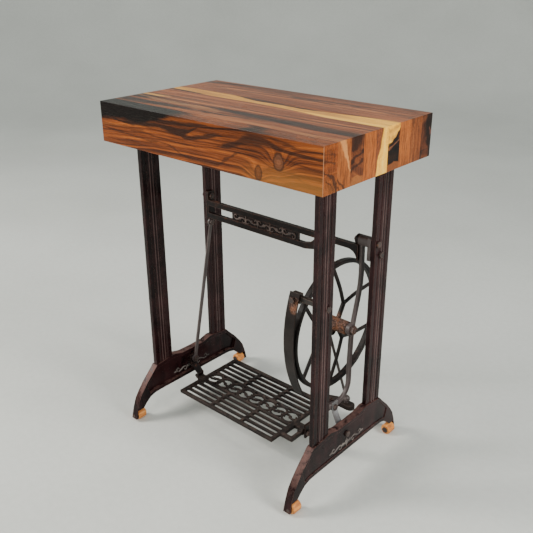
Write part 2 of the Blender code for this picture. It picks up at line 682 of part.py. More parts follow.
# ---- back brace -------------------------------------------------------------------------
def make_brace(look):
    """One casting: two rails with a panel between them, a lug at the left end, and a flared
    end with a round pad at the right."""
    half = BRACE_DEPTH / 2
    lug_in = COLUMN_IN - GAP - BRACE_LUG
    top = UPPER_RAIL_Z + RAIL_HEIGHT / 2
    under = UPPER_RAIL_Z - RAIL_HEIGHT / 2
    pad_face = ARM_X - ARM_THICKNESS / 2 - GAP
    pad = pad_face - BRACE_LUG
    left_end = -lug_in - BRACE_LUG / 2
    flare_left = pad_face - BRACE_LUG / 3
    outline = [(left_end, under), (left_end, top), (pad_face, top), (pad_face, under - BRACE_FLARE)]
    outline += arc(flare_left - BRACE_FLARE, under - BRACE_FLARE, BRACE_FLARE, 0, 90, 5)
    brace = prism("back_brace", outline, "Y", BRACE_Y - half, BRACE_Y + half, look)
    low = LOWER_RAIL_Z - RAIL_HEIGHT / 2
    high = LOWER_RAIL_Z + RAIL_HEIGHT / 2
    meets = COLUMN_IN - RAIL_RISE_MARGIN
    rail = [(left_end, low), (meets - 0.045, low), (meets - 0.015, low + 0.006)]
    rail += [(meets + 0.018, under + 0.002), (meets - 0.012, under + 0.002)]
    rail += [(meets - 0.032, high + 0.004), (meets - 0.050, high), (left_end, high)]
    panel_half = PANEL_THICKNESS / 2
    panel_low, panel_high = low + PANEL_BORDER, top - PANEL_BORDER
    panel_left = PANEL_LEFT_MARGIN - COLUMN_IN
    panel_right = COLUMN_IN - PANEL_RIGHT_MARGIN
    panel = [(panel_left, panel_low), (panel_right, panel_low)]
    panel += [(panel_right, panel_high), (panel_left, panel_high)]
    margin = BRACE_LUG_MARGIN
    left = box("brace_left_lug", (-COLUMN_IN + GAP, BRACE_Y - half, STRUT_TOP_Z - margin),
               (-lug_in, BRACE_BOLT_Y + margin, BRACE_BOLT_Z + margin), look)
    end = rod("brace_pad", "X", BRACE_BOLT_Y, BRACE_BOLT_Z, pad, pad_face, PAD_RADIUS, look)
    join(brace, [
        prism("brace_lower_rail", rail, "Y", BRACE_Y - half, BRACE_Y + half, look),
        prism("brace_panel", panel, "Y", BRACE_Y - panel_half, BRACE_Y + panel_half, look),
        left, end,
    ])
    radius = BOLT_RADIUS + BOLT_CLEARANCE
    drill(brace, "X", BRACE_BOLT_Y, BRACE_BOLT_Z, pad, pad_face, radius, look)
    drill(brace, "X", BRACE_BOLT_Y, BRACE_BOLT_Z, -COLUMN_IN, -lug_in, radius, look)
    drill(brace, "X", STRUT_TOP_Y, STRUT_TOP_Z, -COLUMN_IN, -lug_in, radius, look)
    return brace


def make_brace_bolts(look):
    """Bolts through the rear columns. The upper right one also holds the arm."""
    lug_in = COLUMN_IN - GAP - BRACE_LUG
    seat = COLUMN_OUT + GAP
    bore = BOLT_RADIUS + BOLT_CLEARANCE
    arm_left = ARM_X - ARM_THICKNESS / 2 - 2 * GAP - BRACE_LUG
    places = (
        ("upper_right", 1, BRACE_BOLT_Y, BRACE_BOLT_Z, arm_left),
        ("lower_right", 1, BRACE_LOW_BOLT_Y, BRACE_LOW_BOLT_Z, lug_in - GAP),
        ("left", -1, BRACE_BOLT_Y, BRACE_BOLT_Z, lug_in - GAP),
    )
    for name, sign, y, z, nut_face in places:
        length = seat - nut_face + NUT_THICKNESS + NUT_PROUD
        bolt(f"brace_bolt_{name}", "X", y, z, sign * seat, -sign, BOLT_HEAD,
             BOLT_HEAD_RADIUS, BOLT_RADIUS, length, look)
        ends = sorted((sign * nut_face, sign * (nut_face - NUT_THICKNESS)))
        nut(f"brace_nut_{name}", "X", y, z, ends[0], ends[1], BOLT_HEAD_RADIUS, bore, look)


# ---- left strut, arm, straps and treadle brackets ---------------------------------------
def eye(name, y, z, low, high, radius, look):
    return rod(name, "X", y, z, low, high, radius, look, 20)


def make_strut(look):
    """A flat bar from the brace's left lug down to the left foot."""
    x = -(COLUMN_IN - GAP - BRACE_LUG - GAP - STRUT_THICKNESS / 2)
    low, high = x - STRUT_THICKNESS / 2, x + STRUT_THICKNESS / 2
    foot_x = -(FOOT_IN - 2 * GAP - BRACKET_THICKNESS - STRUT_THICKNESS / 2)
    top = Vector((x, STRUT_TOP_Y, STRUT_TOP_Z))
    bottom = Vector((foot_x, FOOT_BOLT_Y, FOOT_BOLT_Z))
    strut = swept("left_strut", [top, bottom], "X", STRUT_THICKNESS / 2 - BAR_RELIEF,
                  STRUT_WIDTH / 2, look)
    join(strut, [
        eye("strut_top_eye", STRUT_TOP_Y, STRUT_TOP_Z, low, high, STRUT_EYE_RADIUS, look),
        eye("strut_low_eye", FOOT_BOLT_Y, FOOT_BOLT_Z, foot_x - STRUT_THICKNESS / 2,
            foot_x + STRUT_THICKNESS / 2, STRUT_EYE_RADIUS, look),
    ])
    radius = BOLT_RADIUS + BOLT_CLEARANCE
    drill(strut, "X", STRUT_TOP_Y, STRUT_TOP_Z, low, high, radius, look)
    drill(strut, "X", FOOT_BOLT_Y, FOOT_BOLT_Z, foot_x - STRUT_THICKNESS,
          foot_x + STRUT_THICKNESS, radius, look)
    return strut


def make_strut_bolt(look):
    seat = -(COLUMN_IN - 2 * GAP - BRACE_LUG - GAP - STRUT_THICKNESS)
    length = seat + COLUMN_IN - BRACE_LUG / 4
    return bolt("strut_bolt", "X", STRUT_TOP_Y, STRUT_TOP_Z, seat, -1, BOLT_HEAD,
                BOLT_HEAD_RADIUS, BOLT_RADIUS, length, look)


def arm_path():
    """Down from the brace's boss past the axle, then a bend to the front."""
    bend_y = AXLE_Y + ARM_WIDTH / 8
    centre_y = bend_y - ARM_BEND
    centre_z = ARM_END_Z + ARM_BEND
    points = [(ARM_X, BRACE_BOLT_Y, BRACE_BOLT_Z)]
    points += [(ARM_X, BRACE_BOLT_Y, AXLE_Z + WHEEL_RADIUS * 2 / 3)]
    points += [(ARM_X, AXLE_Y + ARM_WIDTH / 2, AXLE_Z), (ARM_X, bend_y, AXLE_Z - WHEEL_RADIUS / 2)]
    upper = smooth_path(points, 4)
    bend = [Vector((ARM_X, y, z)) for y, z in arc(centre_y, centre_z, ARM_BEND, 0, -90, 7)]
    return upper + bend + [Vector((ARM_X, ARM_END_Y, ARM_END_Z))]


def make_arm(look):
    half = ARM_THICKNESS / 2
    arm = swept("wheel_arm", arm_path(), "X", half - BAR_RELIEF, ARM_WIDTH / 2, look)
    low, high = ARM_X - half, ARM_X + half
    face = COLUMN_IN - GAP
    radius = BOLT_RADIUS + BOLT_CLEARANCE
    foot_low = BRACE_LOW_BOLT_Z - BRACE_LUG_MARGIN
    foot_high = BRACE_BOLT_Z + BRACE_LUG_MARGIN - CUT_EXTRA
    join(arm, [
        eye("arm_top_boss", BRACE_BOLT_Y, BRACE_BOLT_Z, low, face, PAD_RADIUS, look),
        box("arm_foot", (face - BRACE_LUG, BRACE_Y - BRACE_DEPTH / 2, foot_low),
            (face, BRACE_LOW_BOLT_Y + BRACE_LUG_MARGIN, foot_high), look),
        eye("arm_axle_eye", AXLE_Y, AXLE_Z, low, high, ARM_EYE_RADIUS, look),
        eye("arm_low_eye", ARM_END_Y, ARM_END_Z, low, high, ARM_END_RADIUS, look),
    ])
    drill(arm, "X", BRACE_BOLT_Y, BRACE_BOLT_Z, low, face, radius, look)
    drill(arm, "X", BRACE_LOW_BOLT_Y, BRACE_LOW_BOLT_Z, face - BRACE_LUG, face, radius, look)
    drill(arm, "X", AXLE_Y, AXLE_Z, low, high, STUD_RADIUS + BOLT_CLEARANCE, look)
    drill(arm, "X", ARM_END_Y, ARM_END_Z, low, high, radius, look)
    return arm


def bracket_bar(name, stations, y, width, thickness, look):
    """A strap bent in the plane across Y. Stations are x and z of its middle."""
    path = [Vector((x, y, z)) for x, z in stations]
    return swept(name, path, "Y", width / 2, thickness / 2, look)


def make_straps(look):
    """The bent straps: one to the right foot, and one to each of the treadle's pivots."""
    y = (PIVOT_Y + FOOT_BOLT_Y) / 2
    radius = BOLT_RADIUS + BOLT_CLEARANCE
    bore = CONE_RADIUS + BOLT_CLEARANCE
    t = BRACKET_THICKNESS
    top_x = -(FOOT_IN - GAP - t / 2)
    pivot_x = TREADLE_LEFT - PIVOT_GAP - t / 2
    left = bracket_bar("treadle_bracket_left", [
        (top_x, FOOT_BOLT_Z + STRAP_END), (top_x, FOOT_BOLT_Z - STRAP_END),
        (pivot_x, PIVOT_Z + PIVOT_END), (pivot_x, PIVOT_Z - PIVOT_END),
    ], y, BRACKET_WIDTH, t, look)
    drill(left, "X", FOOT_BOLT_Y, FOOT_BOLT_Z, top_x - t, top_x + t, radius, look)
    drill(left, "X", PIVOT_Y, PIVOT_Z, pivot_x - t, pivot_x + t, bore, look)
    top_x = ARM_X - ARM_THICKNESS / 2 - GAP - t / 2
    pivot_x = LOOP_RIGHT + PIVOT_GAP + t / 2
    right = bracket_bar("treadle_bracket_right", [
        (top_x, ARM_END_Z + STRAP_END), (top_x, ARM_END_Z - STRAP_END),
        (pivot_x, PIVOT_Z + 2 * PIVOT_END), (pivot_x, PIVOT_Z - PIVOT_END),
    ], (PIVOT_Y + ARM_END_Y) / 2, BRACKET_WIDTH, t, look)
    drill(right, "X", ARM_END_Y, ARM_END_Z, top_x - t, top_x + t, radius, look)
    drill(right, "X", PIVOT_Y, PIVOT_Z, pivot_x - t, pivot_x + t, bore, look)
    s = STRAP_THICKNESS
    low_x = FOOT_IN - GAP - s / 2
    high_x = ARM_X + ARM_THICKNESS / 2 + GAP + s / 2
    strap = bracket_bar("foot_strap", [
        (low_x, FOOT_BOLT_Z - STRAP_END), (low_x, FOOT_BOLT_Z + STRAP_END),
        (high_x, ARM_END_Z - STRAP_END), (high_x, ARM_END_Z + STRAP_END),
    ], (ARM_END_Y + FOOT_BOLT_Y) / 2, STRAP_WIDTH, s, look)
    drill(strap, "X", FOOT_BOLT_Y, FOOT_BOLT_Z, low_x - s, low_x + s, radius, look)
    drill(strap, "X", ARM_END_Y, ARM_END_Z, high_x - s, high_x + s, radius, look)


def make_foot_bolts(look):
    """A bolt through each foot's boss, its head outside and its nut inside."""
    seat = FOOT_OUT - OUTER_RECESS + GAP
    bore = BOLT_RADIUS + BOLT_CLEARANCE
    stacks = (
        ("left", -1, BRACKET_THICKNESS + GAP + STRUT_THICKNESS),
        ("right", 1, STRAP_THICKNESS),
    )
    for side, sign, stack in stacks:
        face = FOOT_IN - GAP - stack - GAP
        length = seat - face + NUT_THICKNESS + NUT_PROUD * 2 / 3
        bolt(f"foot_bolt_{side}", "X", FOOT_BOLT_Y, FOOT_BOLT_Z, sign * seat, -sign, BOLT_HEAD,
             BOLT_HEAD_RADIUS, BOLT_RADIUS, length, look)
        ends = sorted((sign * face, sign * (face - NUT_THICKNESS)))
        nut(f"foot_nut_{side}", "X", FOOT_BOLT_Y, FOOT_BOLT_Z, ends[0], ends[1],
            BOLT_HEAD_RADIUS, bore, look)
    arm_seat = ARM_X + ARM_THICKNESS / 2 + 2 * GAP + STRAP_THICKNESS
    arm_end = ARM_X - ARM_THICKNESS / 2 - GAP - BRACKET_THICKNESS - CUT_EXTRA
    bolt("arm_end_bolt", "X", ARM_END_Y, ARM_END_Z, arm_seat, -1, BOLT_HEAD,
         BOLT_HEAD_RADIUS, BOLT_RADIUS, arm_seat - arm_end, look)


def make_pivot_screws(look):
    """Pointed screws that the treadle rocks on, each with a lock nut outside its bracket."""
    bore = CONE_RADIUS + BOLT_CLEARANCE
    for side, sign, end in (("left", -1, -TREADLE_LEFT), ("right", 1, LOOP_RIGHT)):
        inside = end - CONE_DEPTH + CONE_GAP
        plate = end + PIVOT_GAP + BRACKET_THICKNESS
        tail = plate + GAP + NUT_THICKNESS + 2 * NUT_PROUD
        profile = [(0, sign * inside), (CONE_RADIUS, sign * (inside + CONE_RADIUS))]
        profile += [(CONE_RADIUS, sign * tail), (0, sign * tail)]
        turned(f"pivot_screw_{side}", profile, "X", PIVOT_Y, PIVOT_Z, look, 16)
        ends = sorted((sign * (plate + GAP), sign * (plate + GAP + NUT_THICKNESS)))
        nut(f"pivot_nut_{side}", "X", PIVOT_Y, PIVOT_Z, ends[0], ends[1],
            BOLT_HEAD_RADIUS, bore, look)


# ---- flywheel ---------------------------------------------------------------------------
def wheel_point(radius, degrees, x=None):
    turn = math.radians(degrees)
    at = WHEEL_X if x is None else x
    return Vector((at, AXLE_Y + radius * math.cos(turn), AXLE_Z + radius * math.sin(turn)))


def make_flywheel(look):
    """One casting: the rim, three forked spokes, the hub and the crank web."""
    half = RIM_WIDTH / 2
    inner = WHEEL_RADIUS - RIM_DEPTH
    edge = RIM_EDGE
    profile = [(inner, WHEEL_X - half + edge), (inner + edge, WHEEL_X - half)]
    profile += [(WHEEL_RADIUS - edge, WHEEL_X - half), (WHEEL_RADIUS, WHEEL_X - half + edge)]
    profile += [(WHEEL_RADIUS, WHEEL_X + half - edge), (WHEEL_RADIUS - edge, WHEEL_X + half)]
    profile += [(inner + edge, WHEEL_X + half), (inner, WHEEL_X + half - edge)]
    wheel = turned("flywheel", profile, "X", AXLE_Y, AXLE_Z, look, 56, ring=True)
    pieces = [rod("hub", "X", AXLE_Y, AXLE_Z, HUB_START, HUB_END, HUB_RADIUS, look, 28)]
    for i in range(SPOKE_COUNT):
        stem = SPOKE_FIRST + 360.0 * i / SPOKE_COUNT
        root = wheel_point(HUB_RADIUS * 3 / 4, stem)
        fork = wheel_point(SPOKE_FORK + SPOKE_WIDTH / 3, stem)
        pieces.append(swept(f"stem_{i}", [root, fork], "X", SPOKE_THICKNESS / 2 + STEM_EXTRA,
                            SPOKE_WIDTH / 2 + STEM_EXTRA * 3 / 2, look))
        for side in (-1, 1):
            start = wheel_point(SPOKE_FORK, stem)
            middle = wheel_point(0.62 * inner, stem + side * SPOKE_SPREAD * 0.66)
            end = wheel_point(inner + SPOKE_WIDTH / 2, stem + side * SPOKE_SPREAD)
            path = smooth_path([start, middle, end], 4)
            pieces.append(swept(f"branch_{i}_{side + 1}", path, "X", SPOKE_THICKNESS / 2,
                                SPOKE_WIDTH / 2, look))
    turn = math.radians(CRANK_ANGLE)
    along = Vector((0, math.cos(turn), math.sin(turn)))
    web_x = CRANK_FACE + CRANK_WEB / 2
    centre = Vector((web_x, AXLE_Y, AXLE_Z))
    tip = centre + along * CRANK_RADIUS
    pieces.append(swept("crank_web", [centre, tip], "X", CRANK_WEB / 2,
                        CRANK_WEB_HALF_WIDTH, look))
    pieces.append(rod("crank_eye", "X", CRANK_Y, CRANK_Z, web_x - CRANK_WEB / 2,
                      web_x + CRANK_WEB / 2, CRANK_EYE_RADIUS, look, 24))
    half_turn = BALANCE_HALF_ANGLE
    outside, inside = WHEEL_RADIUS + BALANCE_PROUD, inner + RIM_EDGE
    lug = [wheel_point(r, BALANCE_ANGLE + a) for r, a in (
        (inside, -half_turn), (outside, -half_turn), (outside, half_turn), (inside, half_turn))]
    pieces.append(prism("balance_lug", [(p.y, p.z) for p in lug], "X",
                        WHEEL_X - half * 0.8, WHEEL_X + half * 0.8, look))
    join(wheel, pieces)
    left = CRANK_FACE
    drill(wheel, "X", AXLE_Y, AXLE_Z, left, HUB_END, STUD_RADIUS + RUNNING_CLEARANCE, look)
    recess = STUD_HEAD_RADIUS + RUNNING_CLEARANCE
    deep = left + STUD_HEAD + 2 * RUNNING_CLEARANCE
    cut(wheel, [rod("stud_recess", "X", AXLE_Y, AXLE_Z, left - CUT_EXTRA, deep, recess, look, 24)])
    drill(wheel, "X", CRANK_Y, CRANK_Z, left, left + CRANK_WEB, BOLT_RADIUS + BOLT_CLEARANCE, look)
    origin_to(wheel, (WHEEL_X, AXLE_Y, AXLE_Z))
    return wheel


def make_axle(look, rust):
    """The stud that the wheel runs on, held in the arm by a washer and a nut."""
    head = CRANK_FACE + RUNNING_CLEARANCE
    under = head + STUD_HEAD
    arm_right = ARM_X + ARM_THICKNESS / 2
    tip = arm_right + GAP + AXLE_NUT + STUD_TIP
    r = STUD_RADIUS
    profile = [(0, head), (STUD_HEAD_RADIUS, head), (STUD_HEAD_RADIUS, under), (r, under)]
    profile += [(r, tip - BOLT_TIP), (r - BOLT_TIP, tip), (0, tip)]
    turned("axle_stud", profile, "X", AXLE_Y, AXLE_Z, look, 24)
    bore = STUD_RADIUS + BOLT_CLEARANCE
    washer_end = ARM_X - ARM_THICKNESS / 2 - GAP
    tube("axle_washer", "X", AXLE_Y, AXLE_Z, washer_end - WASHER, washer_end, WASHER_RADIUS,
         bore, look)
    nut("axle_nut", "X", AXLE_Y, AXLE_Z, arm_right + GAP, arm_right + GAP + AXLE_NUT,
        AXLE_NUT_RADIUS, bore, rust)


def make_crank_pin(look):
    """Screwed into the crank web. It ends a little before the pitman's eye."""
    eye_face = PITMAN_X + PITMAN_EYE_THICKNESS / 2
    start = eye_face + CRANK_PIN_GAP
    neck = CRANK_FACE - GAP
    end = CRANK_FACE + CRANK_WEB - RUNNING_CLEARANCE
    profile = [(0, start), (CRANK_PIN_RADIUS, start), (CRANK_PIN_RADIUS, neck)]
    profile += [(BOLT_RADIUS, neck), (BOLT_RADIUS, end), (0, end)]
    pin = turned("crank_pin", profile, "X", CRANK_Y, CRANK_Z, look, 20)
    origin_to(pin, (WHEEL_X, AXLE_Y, AXLE_Z))
    return pin


# ---- pitman -----------------------------------------------------------------------------
def tilted_rod(name, start, end, radius, look, segments=14):
    """A round rod between two points."""
    start, end = Vector(start), Vector(end)
    direction = (end - start).normalized()
    side = direction.cross(Vector((1, 0, 0))).normalized()
    other = direction.cross(side)
    bm = bmesh.new()
    rings = []
    for point in (start, end):
        ring = []
        for k in range(segments):
            turn = 2 * math.pi * k / segments
            ring.append(bm.verts.new(point + (side * math.cos(turn) + other * math.sin(turn)) * radius))
        rings.append(ring)
    ring_walls(bm, rings[0], rings[1])
    bm.faces.new(rings[0])
    bm.faces.new(list(reversed(rings[1])))
    return add_mesh(name, bm, look)


def ball_shape(name, centre, radius, look, rings=10, segments=20):
    """A ball turned about a vertical axis."""
    profile = []
    for i in range(rings + 1):
        turn = math.pi * i / rings
        at = centre[2] - radius * math.cos(turn)
        profile.append((max(0.0, radius * math.sin(turn)), at))
    return turned(name, profile, "Z", centre[0], centre[1], look, segments)


def make_pitman(look):
    """The rod, with an eye at the crank and a socket on the treadle's ball."""
    ball = Vector((PITMAN_X, LUG_Y, BALL_Z))
    crank = Vector((PITMAN_X, CRANK_Y, CRANK_Z))
    half = PITMAN_EYE_THICKNESS / 2
    rod_end = crank + (ball - crank).normalized() * (PITMAN_EYE_RADIUS * 3 / 4)
    pitman = tilted_rod("pitman_rod", ball + (crank - ball).normalized() * BALL_RADIUS,
                        rod_end, PITMAN_ROD_RADIUS, look)
    top = eye("pitman_eye", CRANK_Y, CRANK_Z, PITMAN_X - half, PITMAN_X + half,
              PITMAN_EYE_RADIUS, look)
    socket = ball_shape("pitman_socket", ball, BALL_RADIUS + SOCKET_WALL, look)
    join(pitman, [top, socket])
    drill(pitman, "X", CRANK_Y, CRANK_Z, PITMAN_X - half, PITMAN_X + half,
          CRANK_PIN_RADIUS + RUNNING_CLEARANCE, look)
    mouth_depth = 2 * (BALL_RADIUS + SOCKET_WALL)
    cavity = ball_shape("socket_cavity", ball, BALL_RADIUS + RUNNING_CLEARANCE, look)
    wide = mouth_depth * math.tan(math.radians(SOCKET_MOUTH))
    cone = [(0, BALL_Z), (wide, BALL_Z - mouth_depth), (0, BALL_Z - mouth_depth)]
    mouth = turned("socket_mouth", cone, "Z", PITMAN_X, LUG_Y, look, 24)
    cut(pitman, [cavity, mouth])
    origin_to(pitman, ball)
    return pitman


def make_ball_stud(look):
    """Screwed into the treadle's lug, with the ball that the pitman's socket sits on."""
    top = LUG_TOP
    r = BALL_RADIUS
    neck = BALL_NECK
    collar_top = top + (BALL_HEIGHT - r) / 2
    profile = [(0, top - BALL_SHANK_LENGTH), (BALL_SHANK, top - BALL_SHANK_LENGTH)]
    profile += [(BALL_SHANK, top + GAP), (BALL_COLLAR, top + GAP)]
    profile += [(BALL_COLLAR, collar_top - CUT_EXTRA), (neck, collar_top)]
    start = math.asin(neck / r)
    steps = 8
    for i in range(steps + 1):
        turn = start + (math.pi - start) * i / steps
        profile.append((max(0.0, r * math.sin(turn)), BALL_Z - r * math.cos(turn)))
    return turned("ball_stud", profile, "Z", PITMAN_X, LUG_Y, look, 20)


# ---- treadle ----------------------------------------------------------------------------
def grid_plate(name, xs, ys, open_cells, low, high, look):
    """A plate on a grid of lines with some of its cells left open."""
    bm = bmesh.new()
    made = {}

    def corner(i, j, z):
        if (i, j, z) not in made:
            made[i, j, z] = bm.verts.new((xs[i], ys[j], z))
        return made[i, j, z]

    def filled(i, j):
        inside = 0 <= i < len(xs) - 1 and 0 <= j < len(ys) - 1
        return inside and (i, j) not in open_cells

    for i in range(len(xs) - 1):
        for j in range(len(ys) - 1):
            if not filled(i, j):
                continue
            around = ((i, j), (i + 1, j), (i + 1, j + 1), (i, j + 1))
            bm.faces.new([corner(a, b, high) for a, b in around])
            bm.faces.new([corner(a, b, low) for a, b in reversed(around)])
            sides = ((0, 1, (i, j - 1)), (1, 2, (i + 1, j)), (2, 3, (i, j + 1)), (3, 0, (i - 1, j)))
            for start, end, neighbour in sides:
                if not filled(*neighbour):
                    p, q = around[start], around[end]
                    bm.faces.new((corner(*p, low), corner(*q, low), corner(*q, high), corner(*p, high)))
    return add_mesh(name, bm, look)


def slot_lines(start, end, count):
    """Lines across a stretch that holds count slots with a slat between each two."""
    slot = (end - start - (count - 1) * SLAT) / count
    lines = []
    for i in range(count):
        lines += [start + i * (slot + SLAT), start + i * (slot + SLAT) + slot]
    return lines


def make_treadle(look):
    """One casting: a grille with an ornament band across its middle, a loop at its right end
    for the right pivot, and a lug behind it for the pitman."""
    low = TREADLE_TOP - TREADLE_THICKNESS
    left, right = TREADLE_LEFT + PIVOT_BLOCK_LENGTH / 3, TREADLE_RIGHT
    third = (right - left - 2 * END_BAR - 2 * CROSS_BAR) / 3
    xs = [left, left + END_BAR]
    for _ in range(2):
        xs += [xs[-1] + third, xs[-1] + third + CROSS_BAR]
    xs += [right - END_BAR, right]
    front = TREADLE_FRONT + FRONT_BAR
    back = TREADLE_BACK - REAR_BAR
    middle = (front + back) / 2
    band_low, band_high = middle - BAND_DEPTH / 2, middle + BAND_DEPTH / 2
    front_lines = slot_lines(front, band_low - SLAT, SLOTS_EACH_SIDE)
    rear_lines = slot_lines(band_high + SLAT, back, SLOTS_EACH_SIDE)
    ys = [TREADLE_FRONT] + front_lines + [band_low, band_high] + rear_lines + [TREADLE_BACK]
    slots = [1 + 2 * i for i in range(SLOTS_EACH_SIDE)]
    band = 1 + 2 * SLOTS_EACH_SIDE
    slots += [band + 2 + 2 * i for i in range(SLOTS_EACH_SIDE)]
    open_cells = {(i, j) for i in (1, 3, 5) for j in slots}
    open_cells |= {(i, band) for i in range(1, 6)}
    treadle = grid_plate("treadle", xs, ys, open_cells, low, TREADLE_TOP, look)
    pieces = []
    span = (right - left - 2 * END_BAR) / RING_COUNT
    outer = max(BAND_DEPTH, span) / 2 + RING_OVERLAP
    for i in range(RING_COUNT):
        x = left + END_BAR + span * (i + 0.5)
        lower = low + CUT_EXTRA + CUT_EXTRA / 5 * i
        upper = TREADLE_TOP - CUT_EXTRA - CUT_EXTRA / 5 * i
        pieces.append(tube(f"band_ring_{i}", "Z", x, middle, lower, upper, outer,
                           outer - RING_WALL, look, 18))
    loop_x = [right - LOOP_BAR / 2, right + LOOP_BAR / 2, LOOP_RIGHT - LOOP_BAR, LOOP_RIGHT]
    loop_y = [LOOP_FRONT, LOOP_FRONT + LOOP_BAR, LOOP_BACK - 2 * LOOP_BAR, LOOP_BACK]
    pieces.append(grid_plate("pivot_loop", loop_x, loop_y, {(1, 1)}, low - CUT_EXTRA,
                             TREADLE_TOP - CUT_EXTRA / 2, look))
    hub_half = PIVOT_BLOCK
    pieces.append(box("left_pivot_block", (TREADLE_LEFT, PIVOT_Y - hub_half, PIVOT_Z - hub_half),
                      (TREADLE_LEFT + PIVOT_BLOCK_LENGTH, PIVOT_Y + hub_half, PIVOT_Z + hub_half),
                      look))
    block_left = LOOP_RIGHT - PIVOT_BLOCK_LENGTH
    pieces.append(box("right_pivot_block", (block_left, PIVOT_Y - hub_half, PIVOT_Z - hub_half),
                      (LOOP_RIGHT, PIVOT_Y + hub_half, PIVOT_Z + hub_half), look))
    root_y = TREADLE_BACK - REAR_BAR / 2
    lug = [(right - LUG_ROOT, root_y), (right, root_y), (right + LUG_RADIUS, LUG_Y - LUG_RADIUS)]
    lug += arc(PITMAN_X + LUG_PAST_BALL, LUG_Y, LUG_RADIUS, -90, 90, 10)
    lug += [(right + LUG_RADIUS, LUG_Y + LUG_RADIUS * 0.8)]
    lug += [(right - LUG_RADIUS * 1.6, LUG_Y - LUG_RADIUS / 3)]
    pieces.append(prism("pitman_lug", lug, "Z", LUG_TOP - LUG_THICKNESS, LUG_TOP, look))
    join(treadle, pieces)
    deep = LUG_TOP - BALL_SHANK_LENGTH - CUT_EXTRA
    cut(treadle, [rod("ball_hole", "Z", PITMAN_X, LUG_Y, deep, LUG_TOP + CUT_EXTRA,
                      BALL_SHANK + BOLT_CLEARANCE, look, 16)])
    for side, sign, end in (("left", -1, -TREADLE_LEFT), ("right", 1, LOOP_RIGHT)):
        seat = CONE_DEPTH + 2 * CUT_EXTRA
        mouth = sign * (end - CONE_DEPTH + seat)
        cone = [(0, sign * (end - CONE_DEPTH)), (seat, mouth), (0, mouth)]
        cut(treadle, [turned(f"cone_seat_{side}", cone, "X", PIVOT_Y, PIVOT_Z, look, 20)])
    origin_to(treadle, (0, PIVOT_Y, PIVOT_Z))
    return treadle


# ---- belt guard -------------------------------------------------------------------------
def make_guard(iron, rust):
    """A curved plate before the wheel, on a bracket from the right front column."""
    half = GUARD_WIDTH / 2
    middle = GUARD_ARC_RADIUS - GUARD_THICKNESS / 2
    path = [Vector((GUARD_X, y, z)) for y, z in arc(
        GUARD_CENTRE_Y, GUARD_CENTRE_Z, middle, 180 - GUARD_UP, 180 + GUARD_DOWN, 18)]
    guard = swept("belt_guard", path, "X", half, GUARD_THICKNESS / 2, iron)
    radius = BOLT_RADIUS + BOLT_CLEARANCE
    drill(guard, "Y", GUARD_X, GUARD_BOLT_Z, GUARD_BOLT_Y - GUARD_THICKNESS,
          GUARD_BOLT_Y + 2 * GUARD_THICKNESS, radius, iron)
    front = GUARD_BOLT_Y + GUARD_THICKNESS + GUARD_BLOCK_GAP
    back = front + GUARD_BLOCK
    tall = GUARD_BLOCK_HALF
    bar = GUARD_BAR_HALF
    block = box("guard_bracket", (GUARD_X - tall, front, GUARD_BOLT_Z - tall),
                (GUARD_X + tall, back, GUARD_BOLT_Z + tall), rust)
    plate_right = COLUMN_IN - GAP
    plate_left = plate_right - GUARD_PLATE
    margin = GUARD_PLATE_MARGIN
    bar_y = (front + back) / 2
    plate_front, plate_back = sorted((bar_y, GUARD_MOUNT_Y))
    join(block, [
        box("guard_bar", (GUARD_X, bar_y - bar, GUARD_BOLT_Z - bar),
            (plate_right - CUT_EXTRA, bar_y + bar, GUARD_BOLT_Z + bar), rust),
        box("guard_plate", (plate_left, plate_front - margin, GUARD_BOLT_Z - margin),
            (plate_right, plate_back + margin, GUARD_BOLT_Z + margin), rust),
    ])
    drill(block, "Y", GUARD_X, GUARD_BOLT_Z, front, back, radius, rust)
    drill(block, "X", GUARD_MOUNT_Y, GUARD_BOLT_Z, plate_left, plate_right, radius, rust)
    seat = GUARD_BOLT_Y - GUARD_THICKNESS
    bolt("guard_bolt", "Y", GUARD_X, GUARD_BOLT_Z, seat, 1, BOLT_HEAD, BOLT_HEAD_RADIUS,
         BOLT_RADIUS, back - seat + CUT_EXTRA, rust)
    mount_seat = COLUMN_OUT + GAP
    bolt("guard_bracket_bolt", "X", GUARD_MOUNT_Y, GUARD_BOLT_Z, mount_seat, -1,
         BOLT_HEAD * 2 / 3, BOLT_HEAD_RADIUS, BOLT_RADIUS, mount_seat - plate_left - GAP, iron)


def build():
    clear_scene()
    wood = material("walnut", (0.27, 0.11, 0.045), 0.35, 0.0)
    iron = material("japanned_iron", (0.028, 0.018, 0.017), 0.45, 0.4)
    cast = material("worn_casting", (0.06, 0.045, 0.042), 0.5, 0.5)
    rust = material("rusty_steel", (0.17, 0.075, 0.04), 0.75, 0.3)
    steel = material("grey_steel", (0.30, 0.30, 0.32), 0.4, 0.8)
    roller = material("roller_wood", (0.62, 0.25, 0.06), 0.5, 0.0)
    make_top(wood)
    make_side_frame("left", -1, iron)
    make_side_frame("right", 1, iron)
    make_table_screws(steel)
    make_rollers(roller, cast)
    make_brace(iron)
    make_brace_bolts(rust)
    make_strut(cast)
    make_strut_bolt(rust)
    make_arm(cast)
    make_straps(steel)
    make_foot_bolts(rust)
    make_pivot_screws(rust)
    make_flywheel(iron)
    make_axle(cast, rust)
    make_crank_pin(rust)
    make_pitman(cast)
    make_ball_stud(rust)
    make_treadle(iron)
    make_guard(iron, rust)


build()
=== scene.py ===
"""The looks of a small table: a laminated walnut top on an old cast-iron treadle stand.

Metres, Z up, the front faces -Y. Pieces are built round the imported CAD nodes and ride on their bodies.
"""

import json
import math

import bmesh
import bpy
from mathutils import Matrix, Vector
from mathutils.bvhtree import BVHTree

